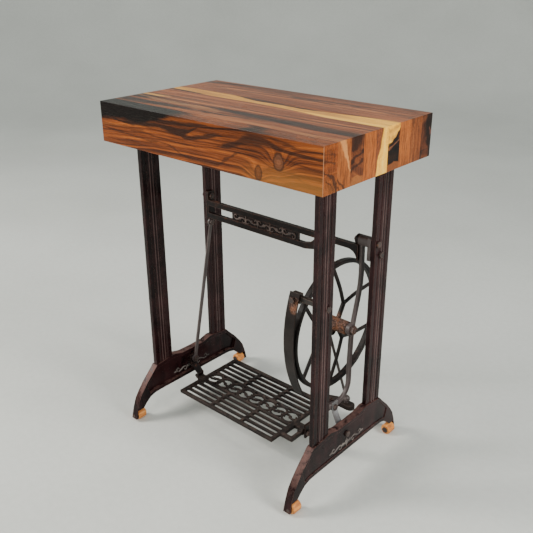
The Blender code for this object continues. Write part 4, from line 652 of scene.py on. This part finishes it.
# front to back: ((pith, lean, figure, tone, contrast), settings)
STAVE_WOODS = [
    (((-0.16, 0.60), (0.02, 0.06), 70.0, 0.44, 1.35), {
        "gloss": 0.27, "stops": WOOD_STOPS, "marks": front_marks,
        "knots": ((0.213, 0.780, 0.030, 0.024, 0.030), (0.160, 0.750, 0.026, 0.022, 0.022))}),
    (((-0.30, 0.70), (0.05, 0.02), 80.0, 0.63, 1.1), {
        "heart": (0.60, 0.10), "marks": upper_marks(2, SECOND_STREAKS)}),
    (((-0.02, 0.90), (0.03, 0.08), 66.0, 0.48, 1.2), {
        "heart": (0.54, 0.12), "marks": upper_marks(3, THIRD_STREAKS)}),
    (((0.42, 0.78), (0.03, 0.0), 85.0, 0.60, 1.1), {
        "heart": (0.60, 0.12), "marks": upper_marks(4, FOURTH_STREAKS)}),
    (((0.55, 0.76), (0.02, 0.0), 60.0, 0.60, 0.9), {"sap": sap_fifth}),
    (((0.03, 0.90), (0.01, 0.03), 66.0, 0.40, 1.2), {
        "heart": (0.48, 0.1), "stops": WOOD_STOPS, "sap": sap_sixth}),
    (((0.46, 0.80), (-0.03, 0.0), 66.0, 0.60, 0.9), {"heart": (0.64, 0.1)}),
    (((0.40, 0.74), (0.04, 0.02), 72.0, 0.56, 1.0), {
        "heart": (0.60, 0.1), "marks": upper_marks(8, EIGHTH_STREAKS)}),
    (((0.155, 0.775), (0.03, 0.02), 60.0, 0.50, 1.1), {"heart": (0.54, 0.12)}),
]

TURNED_STOPS = [
    (0.25, (0.20, 0.055, 0.014)),
    (0.45, (0.52, 0.17, 0.035)),
    (0.6, (0.78, 0.31, 0.07)),
    (0.8, (0.88, 0.46, 0.14)),
]
GRIME = (0.09, 0.035, 0.014)


def roller_wood():
    """Bright turned wood with its grain along Y and dirt on the edges."""
    tree = Tree("turned_wood", specular=0.4)
    place = tree.place()
    streaks = tree.noise(tree.stretched(place, (160.0, 22.0, 160.0)))
    fine = tree.noise(tree.stretched(place, (900.0, 90.0, 900.0)), detail=2.0)
    value = tree.add(tree.mul(streaks, 0.75), tree.mul(fine, 0.3))
    grime = tree.step(tree.edge(0.0016), 0.02, 0.20)
    tree.sure("Base Color", tree.mix(tree.mul(grime, 0.5), tree.ramp(value, TURNED_STOPS), GRIME))
    tree.sure("Roughness", tree.remap(fine, 0.3, 0.7, 0.38, 0.58))
    tree.bump(value, 0.3, 0.0003)
    return tree.material


# ---------------------------------------------------------------- metal

AXLE_Y, AXLE_Z = 0.0525, 0.3425
PINKISH = (0.150, 0.076, 0.064)
RUST = (0.17, 0.060, 0.024)
ORANGE_RUST = (0.30, 0.105, 0.034)
SCALE_DARK, SCALE_PINK = (0.030, 0.018, 0.015), (0.20, 0.110, 0.082)

CLOUD_RATE, PATCH_RATE, SPECK_RATE, GRIT_RATE = 13.0, 60.0, 420.0, 1500.0
# stretch of the painted vertical stripes of reflected light and shade
SHEEN_RUN_STRETCH = (52.0, 52.0, 1.4)


def iron(name, base, deep, worn, rust=RUST, wear=0.6, rusting=0.2, upward=0.0, gloss=0.42, bump=0.25,
         radius=0.0022, metal=0.0, scale=1.0, specular=0.5, spot=None, streaks=0.0):
    """Old iron: a base coat with deeper patches, worn edges and rust.

    wear, rusting and upward (wear of the faces that look up) go from 0 to 1, streaks is the strength of
    lighter and darker vertical stripes, painted reflection and shade down the columns, radius how far wear
    reaches from an edge, scale the rate of the patches, and spot is (centre, share of each axis, reach) of
    a rusty place.
    """
    tree = Tree(name, specular=specular)
    place = tree.place()
    cloud = tree.noise(tree.stretched(place, (CLOUD_RATE * scale,) * 3, (3.0, 1.0, 4.0)), 4.0, 0.6)
    patch = tree.noise(tree.stretched(place, (PATCH_RATE * scale,) * 3, (1.0, 8.0, 2.0)), 4.0, 0.65)
    speck = tree.noise(tree.stretched(place, (SPECK_RATE,) * 3), roughness=0.6)
    grit = tree.noise(tree.stretched(place, (GRIT_RATE,) * 3), detail=2.0)
    colour = tree.mix(tree.step(cloud, 0.35, 0.68), deep, base)
    colour = tree.mix(tree.mul(tree.step(patch, 0.52, 0.75), 0.55), colour, deep)
    # painted reflection: lighter and darker vertical stripes stand in for the light reflected down the
    # columns
    if streaks:
        sheen_runs = tree.noise(tree.stretched(place, SHEEN_RUN_STRETCH, (5.0, 3.0, 1.0)), detail=0.0)
        sheen_tone = tuple(1.7 * c for c in base)
        colour = tree.mix(tree.mul(tree.step(sheen_runs, 0.50, 0.72), 0.5 * streaks), colour, sheen_tone)
        colour = tree.mix(tree.mul(tree.step(sheen_runs, 0.46, 0.30), 0.6 * streaks), colour, deep)
    uneven = tree.add(tree.mul(patch, 0.6), tree.mul(speck, 0.4))
    worn_edge = tree.step(uneven, 0.62 - 0.34 * wear, 0.80 - 0.30 * wear)
    share = tree.mul(tree.step(tree.edge(radius), 0.015, 0.12), worn_edge)
    if upward:
        facing = tree.step(tree.normal_up(), 0.25, 0.8)
        rubbed = tree.step(uneven, 0.62 - 0.30 * upward, 0.70 - 0.18 * upward)
        rubbed = tree.mul(tree.mul(facing, rubbed), min(1.0, 0.35 + upward))
        share = tree.math("MAXIMUM", share, rubbed)
    scuffs = tree.mul(tree.step(speck, 0.66, 0.74), tree.step(cloud, 0.45, 0.62))
    share = tree.math("MAXIMUM", share, tree.mul(scuffs, 0.45 * wear))
    tint = tree.mix(tree.step(speck, 0.35, 0.65), worn, tuple(0.62 * c for c in worn))
    colour = tree.mix(share, colour, tint)
    rusted = tree.add(tree.mul(patch, 0.7), tree.mul(speck, 0.3))
    rusted = tree.step(rusted, 0.66 - 0.30 * rusting, 0.74 - 0.24 * rusting)
    rusted = tree.mul(rusted, min(1.0, 0.25 + rusting))
    rust_tint = tree.mix(tree.step(grit, 0.3, 0.7), tuple(0.45 * c for c in rust), rust)
    colour = tree.mix(rusted, colour, rust_tint)
    if spot:
        centre, axes, reach = spot
        away = tree.vector("MULTIPLY", tree.vector("SUBTRACT", place, centre), axes)
        away = tree.add(tree.vector("LENGTH", away), tree.centred(patch, reach))
        near = tree.step(away, 1.3 * reach, 0.8 * reach)
        crust = tree.mix(tree.step(speck, 0.44, 0.62), SCALE_DARK, SCALE_PINK)
        crust = tree.mix(tree.mul(tree.step(patch, 0.46, 0.60), 0.32), crust, ORANGE_RUST)
        colour = tree.mix(near, colour, crust)
        share = tree.math("MAXIMUM", share, near)
    tree.sure("Base Color", colour)
    rough = tree.add(gloss, tree.centred(patch, 0.25))
    rough = tree.add(rough, tree.mul(tree.math("MAXIMUM", share, rusted), 0.28))
    tree.sure("Roughness", tree.within(rough, 0.2, 0.95))
    tree.sure("Metallic", tree.add(metal, tree.mul(share, 0.25)))
    height = tree.add(tree.mul(patch, 0.8), tree.add(tree.mul(speck, 0.5), tree.mul(grit, 0.12)))
    tree.bump(height, bump, 0.0009)
    return tree.material


# name: (base coat, deep patches, worn places, settings)
METALS = {
    # frame: streaks paints vertical stripes of reflected light and shade down the columns
    "frame": ((0.026, 0.0085, 0.0092), (0.006, 0.0020, 0.0024), PINKISH, {
        "wear": 0.75, "rusting": 0.03, "upward": 0.75, "gloss": 0.24, "specular": 0.14, "radius": 0.0018,
        "streaks": 0.5, "bump": 0.10}),
    # rib: a lighter iron on the raised column ribs, painted highlight lines where they catch the light,
    # with worn edges
    "rib_highlight": ((0.095, 0.056, 0.052), (0.032, 0.015, 0.015), PINKISH, {
        "wear": 0.7, "rusting": 0.03, "gloss": 0.30, "specular": 0.25, "streaks": 0.6, "bump": 0.1}),
    "brace": ((0.011, 0.0062, 0.0055), (0.004, 0.0025, 0.0025), (0.15, 0.085, 0.07), {
        "wear": 0.95, "rusting": 0.30, "upward": 0.3, "gloss": 0.40, "specular": 0.15}),
    "wheel": ((0.014, 0.010, 0.009), (0.005, 0.0035, 0.0035), (0.10, 0.062, 0.05), {
        "wear": 0.7, "rusting": 0.10, "upward": 0.35, "gloss": 0.45, "specular": 0.16, "scale": 1.5,
        "spot": ((0.0, AXLE_Y, AXLE_Z), (0.0, 1.0, 1.0), 0.026)}),
    "hub": ((0.042, 0.022, 0.018), (0.012, 0.007, 0.006), (0.25, 0.145, 0.110), {
        "rust": (0.20, 0.075, 0.035), "wear": 0.95, "rusting": 0.40, "upward": 0.45, "gloss": 0.5,
        "bump": 0.6, "scale": 2.2}),
    "guard": ((0.017, 0.0115, 0.0100), (0.006, 0.0038, 0.0034), (0.085, 0.052, 0.042), {
        "wear": 0.7, "rusting": 0.12, "specular": 0.18,
        "spot": ((0.190, -0.104, 0.448), (1.0, 1.0, 0.7), 0.012)}),
    "guard_end": ((0.026, 0.016, 0.013), (0.009, 0.006, 0.005), (0.22, 0.140, 0.105), {
        "wear": 0.9, "rusting": 0.36, "upward": 0.35, "gloss": 0.5, "scale": 2.0}),
    "treadle": ((0.024, 0.016, 0.013), (0.008, 0.005, 0.0045), (0.105, 0.073, 0.060), {
        "wear": 0.8, "rusting": 0.12, "upward": 0.5, "gloss": 0.5, "specular": 0.2, "scale": 1.4}),
    "arm": ((0.085, 0.066, 0.064), (0.036, 0.025, 0.024), (0.19, 0.145, 0.135), {
        "wear": 0.7, "rusting": 0.10, "upward": 0.3, "specular": 0.4}),
    "rod": ((0.095, 0.073, 0.070), (0.040, 0.029, 0.027), (0.20, 0.155, 0.145), {
        "rusting": 0.12, "metal": 0.2, "scale": 1.5}),
    "strap": ((0.30, 0.30, 0.31), (0.12, 0.11, 0.11), (0.42, 0.42, 0.43), {
        "rusting": 0.12, "metal": 0.3, "scale": 1.6}),
    "bolt": ((0.050, 0.030, 0.025), (0.016, 0.010, 0.009), (0.20, 0.120, 0.095), {
        "wear": 0.8, "rusting": 0.40, "upward": 0.2, "gloss": 0.55, "scale": 3.0}),
    "relief": ((0.17, 0.145, 0.130), (0.030, 0.020, 0.018), (0.42, 0.37, 0.33), {
        "wear": 0.7, "rusting": 0.08, "gloss": 0.5, "scale": 4.0}),
    "brace_relief": ((0.085, 0.057, 0.048), (0.020, 0.012, 0.010), (0.24, 0.165, 0.14), {
        "wear": 0.9, "rusting": 0.25, "upward": 0.3, "gloss": 0.45, "scale": 3.0}),
}


# ---------------------------------------------------------------- pieces


def add_piece(name, mesh, body, material, replaced=()):
    """A piece with one material that rides on a body and stands for the CAD nodes in replaced."""
    piece = bpy.data.objects.new(name, mesh)
    bpy.context.scene.collection.objects.link(piece)
    mesh.materials.clear()
    mesh.materials.append(material)
    for face in mesh.polygons:
        face.use_smooth = True
    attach(piece, body)
    if replaced:
        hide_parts(*replaced)
    return piece


def weighted(piece):
    modifier = piece.modifiers.new("even_shading", "WEIGHTED_NORMAL")
    modifier.keep_sharp = False
    modifier.weight = 60


def grid_stations(low, high, edge, middle):
    """Places along one axis: close together by the rounded ends, then evenly spread."""
    inner = [low + edge + (high - low - 2 * edge) * k / middle for k in range(middle + 1)]
    return [low, low + 0.45 * edge] + inner + [high - 0.45 * edge, high]


TOP_EDGE = 0.0009
STATIONS_X, STATIONS_Y, STATIONS_Z = 24, 3, 5


def stave_mesh(number):
    """One stave of the top. Only the edges of the whole top are rounded; glued faces stay flush."""
    low, edge = stave_low(number), TOP_EDGE
    stations = [
        grid_stations(-TOP_HALF_X, TOP_HALF_X, edge, STATIONS_X),
        grid_stations(low, low + STAVE_WIDTH, edge, STATIONS_Y),
        grid_stations(TOP_LOW, TOP_HIGH, edge, STATIONS_Z),
    ]
    corners = [
        Vector((-TOP_HALF_X + edge, -TOP_HALF_Y + edge, TOP_LOW + edge)),
        Vector((TOP_HALF_X - edge, TOP_HALF_Y - edge, TOP_HIGH - edge)),
    ]
    form = bmesh.new()
    found = {}

    def point(index):
        if index not in found:
            at = Vector(stations[axis][index[axis]] for axis in range(3))
            core = Vector(min(max(at[axis], corners[0][axis]), corners[1][axis]) for axis in range(3))
            away = at - core
            if away.length > edge:
                at = core + away * (edge / away.length)
            found[index] = form.verts.new(at)
        return found[index]

    for axis in range(3):
        other, third = [(1, 2), (2, 0), (0, 1)][axis]
        for last in (False, True):
            level = len(stations[axis]) - 1 if last else 0
            for a in range(len(stations[other]) - 1):
                for b in range(len(stations[third]) - 1):
                    ring = []
                    for da, db in ((0, 0), (1, 0), (1, 1), (0, 1)):
                        index = [0, 0, 0]
                        index[axis], index[other], index[third] = level, a + da, b + db
                        ring.append(point(tuple(index)))
                    form.faces.new(ring if last else ring[::-1])
    mesh = bpy.data.meshes.new(f"stave_{number}")
    form.to_mesh(mesh)
    form.free()
    return mesh


SAME_POINT, FLAT_ANGLE, SHARP_ANGLE = 0.00002, math.radians(1.2), math.radians(32.0)


def refined(name, dissolve=True):
    """A clean copy of a CAD node's shape, with its flat faces whole again."""
    form = bmesh.new()
    form.from_mesh(frame["nodes"][name].data)
    bmesh.ops.remove_doubles(form, verts=form.verts, dist=SAME_POINT)
    if dissolve:
        bmesh.ops.dissolve_limit(form, angle_limit=FLAT_ANGLE, verts=form.verts, edges=form.edges)
    mesh = bpy.data.meshes.new(name + "_form")
    form.to_mesh(mesh)
    form.free()
    return mesh


def rounded(piece, width):
    modifier = piece.modifiers.new("eased_edges", "BEVEL")
    modifier.width = width
    modifier.segments = 2
    modifier.limit_method = "ANGLE"
    modifier.angle_limit = SHARP_ANGLE
    modifier.miter_outer = "MITER_ARC"
    weighted(piece)


def cast(piece, voxel, smoothing):
    """The rounded fillets of a casting: an even remesh, then smoothed."""
    remesh = piece.modifiers.new("cast_skin", "REMESH")
    remesh.mode = "VOXEL"
    remesh.voxel_size = voxel
    remesh.use_smooth_shade = True
    smooth = piece.modifiers.new("cast_fillets", "SMOOTH")
    smooth.factor = 0.5
    smooth.iterations = smoothing


for number, (figure, settings) in enumerate(STAVE_WOODS, 1):
    wood = walnut(number, figure, **settings)
    node = f"top_stave_{number}"
    weighted(add_piece(f"walnut_stave_{number}", stave_mesh(number), "stand", wood, [node]))

metals = {name: iron("old_" + name, *colours, **settings) for name, (*colours, settings) in METALS.items()}
turned = roller_wood()

# (material, slot, width of the eased edges): how the names of its nodes start
FINISHES = {
    ("frame", "japanned_iron", 0.0016): "side_frame",
    ("brace", "japanned_iron", 0.0010): "back_brace",
    ("brace", "japanned_iron", 0.0008): "treadle_bracket",
    ("arm", "worn_casting", 0.0012): "wheel_arm",
    ("arm", "worn_casting", 0.0008): "left_strut",
    ("rod", "worn_casting", 0.0008): "pitman_rod",
    ("rod", "worn_casting", 0.0004): "ball_stud",
    ("guard", "worn_casting", 0.0008): "belt_guard",
    ("guard_end", "worn_casting", 0.0008): "guard_bracket",
    ("strap", "grey_steel", 0.0006): "foot_strap",
    ("hub", "rusty_steel", 0.0006): "axle_nut",
    ("hub", "rusty_steel", 0.0004): "axle_stud axle_washer crank_pin",
    ("bolt", "rusty_steel", 0.0004): "table_screw roller_pin",
    ("bolt", "rusty_steel", 0.0005): "brace_bolt brace_nut strut_bolt foot_bolt foot_nut arm_end_bolt "
                                     "pivot_screw pivot_nut guard_bolt guard_bracket_bolt",
}
STARTS = {start: finish for finish, starts in FINISHES.items() for start in starts.split()}

# node: (material, voxel, smoothing steps)
CAST_SKINS = {"flywheel": ("wheel", 0.0012, 5), "treadle": ("treadle", 0.0012, 2)}

for node, source in frame["nodes"].items():
    body = source["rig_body"]
    if node.startswith("top_stave"):
        continue
    if node.startswith("roller_") and not node.startswith("roller_pin"):
        rounded(add_piece("turned_" + node, refined(node), body, turned, [node]), 0.0008)
        continue
    if node in CAST_SKINS:
        finish, voxel, smoothing = CAST_SKINS[node]
        skin = refined(node, dissolve=False)
        piece = add_piece("cast_" + node, skin, body, metals[finish], [node])
        cast(piece, voxel, smoothing)
        continue
    finish, slot, width = STARTS[max(filter(node.startswith, STARTS), key=len)]
    rounded(add_piece("form_" + node, refined(node), body, metals[finish], [node]), width)


# ---------------------------------------------------------------- raised ornament

# across a stroke and up from the face, in half widths and heights
STROKE_SECTION = [(-1, -0.6), (-1, 0), (-0.7, 0.66), (0, 1), (0.7, 0.66), (1, 0), (1, -0.6)]
SCROLL_STEPS, LEAF_STEPS = 40, 10


def scroll(centre_u, width, tall, half, curl=11.0, tilt=-0.5, flip=1):
    """An S-shaped scroll with curled ends on the line v = 0, as (u, v, half width) points."""
    points = [(0.0, 0.0)]
    for step in range(SCROLL_STEPS):
        s = -1 + 2 * (step + 0.5) / SCROLL_STEPS
        heading = curl * s * s / 2
        points.append((points[-1][0] + math.cos(heading), points[-1][1] + math.sin(heading)))
    mid_u = (points[0][0] + points[-1][0]) / 2
    mid_v = (points[0][1] + points[-1][1]) / 2
    cos, sin = math.cos(tilt), math.sin(tilt)
    line = []
    for u, v in points:
        u, v = u - mid_u, v - mid_v
        line.append((u * cos - v * sin, u * sin + v * cos))
    span_u, span_v = (max(p[k] for p in line) - min(p[k] for p in line) for k in (0, 1))
    size = min(width / span_u, tall / span_v)
    stroke = []
    for step, (u, v) in enumerate(line):
        s = abs(-1 + 2 * step / SCROLL_STEPS)
        stroke.append((centre_u + u * size, flip * v * size, half * (1.05 - 0.5 * s)))
    return stroke


def leaf(u, length, half, turn=0.0):
    """A pointed leaf on the line v = 0, or a round bead where half is half the length."""
    stroke = []
    for step in range(LEAF_STEPS + 1):
        t = -1 + 2 * step / LEAF_STEPS
        reach = t * length / 2 * 0.999
        wide = half * math.sqrt(max(0.02, 1 - t * t))
        stroke.append((u + reach * math.cos(turn), reach * math.sin(turn), wide))
    return stroke


def bead(u, radius):
    return leaf(u, 2 * radius, radius)


def surface_of(node, start, direction):
    """Where a ray from start first meets a CAD node."""
    data = frame["nodes"][node].data
    faces = [tuple(face.vertices) for face in data.polygons]
    tree = BVHTree.FromPolygons([corner.co for corner in data.vertices], faces)
    return tree.ray_cast(Vector(start), Vector(direction))[0]


def relief(name, strokes, origin, along, across, out, high, body, material):
    """Strokes raised from a casting's face, each with a rounded top and its foot sunk into the face."""
    origin, along, across, out = (Vector(v) for v in (origin, along, across, out))
    form = bmesh.new()
    for stroke in strokes:
        rings = []
        for k, (u, v, half) in enumerate(stroke):
            before, after = stroke[max(0, k - 1)], stroke[min(len(stroke) - 1, k + 1)]
            du, dv = after[0] - before[0], after[1] - before[1]
            size = math.hypot(du, dv)
            ring = []
            for side, rise in STROKE_SECTION:
                at_u, at_v = u - dv / size * half * side, v + du / size * half * side
                ring.append(form.verts.new(origin + along * at_u + across * at_v + out * (high * rise)))
            rings.append(ring)
        for first, second in zip(rings, rings[1:]):
            for k in range(len(ring)):
                nxt = (k + 1) % len(ring)
                form.faces.new((first[k], first[nxt], second[nxt], second[k]))
        form.faces.new(rings[0][::-1])
        form.faces.new(rings[-1])
    bmesh.ops.recalc_face_normals(form, faces=form.faces)
    mesh = bpy.data.meshes.new(name)
    form.to_mesh(mesh)
    form.free()
    weighted(add_piece(name, mesh, body, material))


UPRIGHT = math.pi / 2
FOOT_STROKES = [bead(0.0, 0.0064), leaf(0.0, 0.021, 0.0030, UPRIGHT)]
for side in (-1, 1):
    FOOT_STROKES.append(leaf(side * 0.0135, 0.014, 0.0038))
    FOOT_STROKES.append(scroll(side * 0.038, 0.036, 0.0225, 0.0021, flip=side))
    FOOT_STROKES.append(leaf(side * 0.061, 0.011, 0.0026))

FRAME_X, FOOT_ORNAMENT_Y, FOOT_ORNAMENT_Z = 0.261, -0.002, 0.0815
OUTER_HIGH, INNER_HIGH = 0.0016, 0.0024
for side, sign, faces in (("right", 1, (1,)), ("left", -1, (1, -1))):
    node = f"side_frame_{side}"
    for face in faces:
        # cast from outside, 30 mm beside the middle, clear of the bolt
        start = (sign * FRAME_X + face * 0.1, FOOT_ORNAMENT_Y + 0.03, FOOT_ORNAMENT_Z)
        hit = surface_of(node, start, (-face, 0, 0))
        end, high = ("outer", OUTER_HIGH) if face == sign else ("inner", INNER_HIGH)
        origin = (hit.x, FOOT_ORNAMENT_Y, FOOT_ORNAMENT_Z)
        relief(f"foot_ornament_{side}_{end}", FOOT_STROKES, origin, (0, face, 0), (0, 0, 1), (face, 0, 0),
               high, "stand", metals["relief"])

BRACE_ORNAMENT_X, BRACE_ORNAMENT_Z, BRACE_UNIT, BRACE_UNITS = -0.0545, 0.518, 0.0405, 5
strokes = []
for unit in range(BRACE_UNITS):
    u = (unit - (BRACE_UNITS - 1) / 2) * BRACE_UNIT
    strokes.append(scroll(u, 0.038, 0.027, 0.0024, flip=1 if unit % 2 else -1))
    strokes.append(bead(u, 0.0048))
    if unit < BRACE_UNITS - 1:
        strokes.append(leaf(u + BRACE_UNIT / 2, 0.024, 0.0022, UPRIGHT))
hit = surface_of("back_brace", (BRACE_ORNAMENT_X, -0.3, BRACE_ORNAMENT_Z), (0, 1, 0))
origin = (BRACE_ORNAMENT_X, hit.y, BRACE_ORNAMENT_Z)
relief("brace_ornament", strokes, origin, (1, 0, 0), (0, 0, 1), (0, -1, 0),
       0.0032, "stand", metals["brace_relief"])

BAND_LEFT, BAND_SPAN, BAND_RINGS, BAND_Y, BAND_Z = -0.200, 0.03825, 8, 0.011, 0.0575
strokes = []
for ring in range(BAND_RINGS):
    u = BAND_LEFT + BAND_SPAN * (ring + 0.5)
    strokes.append(scroll(u, 0.036, 0.036, 0.0026, curl=8.0, tilt=-0.6, flip=1 if ring % 2 else -1))
    strokes.append(bead(u, 0.0048))
relief("treadle_ornament", strokes, (0.0, BAND_Y, BAND_Z), (1, 0, 0), (0, 1, 0), (0, 0, 1),
       0.0040, "treadle", metals["treadle"])

COLUMN_Y, COLUMN_FACES = 0.101, (0.255, 0.267)
RIB_LEVELS, RIB_OFFSET, RIB_HALF, RIB_RISE = (0.132, 0.3, 0.45, 0.6, 0.7286), 0.0042, 0.0015, 0.0010
# the ribs wear the lighter rib iron: painted highlight lines down the columns
for side, sign in (("left", -1), ("right", 1)):
    for end, y in (("front", -COLUMN_Y), ("rear", COLUMN_Y)):
        for face, name in zip(COLUMN_FACES, ("inner", "outer")):
            strokes = [[(u, z, RIB_HALF) for z in RIB_LEVELS] for u in (-RIB_OFFSET, RIB_OFFSET)]
            out = (sign if name == "outer" else -sign, 0, 0)
            relief(f"column_ribs_{end}_{side}_{name}", strokes, (sign * face, y, 0), (0, 1, 0), (0, 0, 1),
                   out, RIB_RISE, "stand", metals["rib_highlight"])


# ---------------------------------------------------------------- stage

aimed_camera()

FLOOR_FLAT, COVE, WALL_TOP, COVE_STEPS, COVE_SIDES = 4.0, 2.0, 5.0, 12, 72


def studio_mesh():
    """A round floor that curves up into a wall all round, far outside every view's camera."""
    profile = [(0.0, 0.0), (1.0, 0.0), (2.5, 0.0)]
    for step in range(COVE_STEPS + 1):
        turn = math.pi / 2 * step / COVE_STEPS
        profile.append((FLOOR_FLAT + COVE * math.sin(turn), COVE * (1 - math.cos(turn))))
    profile.append((FLOOR_FLAT + COVE, WALL_TOP))
    points = [(0.0, 0.0, 0.0)]
    for radius, level in profile[1:]:
        for side in range(COVE_SIDES):
            turn = 2 * math.pi * side / COVE_SIDES
            points.append((radius * math.cos(turn), radius * math.sin(turn), level))
    faces = [(0, 1 + side, 1 + (side + 1) % COVE_SIDES) for side in range(COVE_SIDES)]
    for row in range(len(profile) - 2):
        for side in range(COVE_SIDES):
            near = 1 + row * COVE_SIDES
            nxt = (side + 1) % COVE_SIDES
            faces.append((near + side, near + COVE_SIDES + side, near + COVE_SIDES + nxt, near + nxt))
    mesh = bpy.data.meshes.new("studio")
    mesh.from_pydata(points, [], faces)
    for face in mesh.polygons:
        face.use_smooth = True
    return mesh


def studio_floor():
    tree = Tree("pale_floor", roughness=0.75, specular=0.25)
    place = tree.place()
    cloud = tree.noise(tree.stretched(place, (1.4, 1.4, 1.4)), detail=5.0)
    fine = tree.noise(tree.stretched(place, (60.0, 60.0, 60.0)), detail=4.0)
    tone = tree.add(tree.mul(cloud, 0.7), tree.mul(fine, 0.3))
    tree.sure("Base Color", tree.ramp(tone, [(0.3, (0.56, 0.57, 0.53)), (0.7, (0.66, 0.67, 0.63))]))
    tree.bump(fine, 0.08, 0.001)
    return tree.material


floor_mesh = studio_mesh()
floor_mesh.materials.append(studio_floor())
floor = bpy.data.objects.new("floor", floor_mesh)
bpy.context.scene.collection.objects.link(floor)

world = bpy.data.worlds.new("studio")
world.use_nodes = True
sky = world.node_tree.nodes["Background"].inputs
sky["Color"].default_value = (0.86, 0.92, 0.95, 1.0)
sky["Strength"].default_value = 0.75
bpy.context.scene.world = world

area_light("key", (-2.2, -1.9, 2.3), (0.0, 0.0, 0.55), (0.9, 1.3), 115.0, (1.0, 0.97, 0.92))
area_light("front", (0.3, -3.0, 1.5), (0.0, 0.0, 0.5), (1.2, 1.2), 34.0, (1.0, 0.98, 0.95))
area_light("fill", (2.8, 0.3, 1.8), (0.0, 0.0, 0.4), (1.0, 1.6), 84.0, (1.0, 0.985, 0.96))
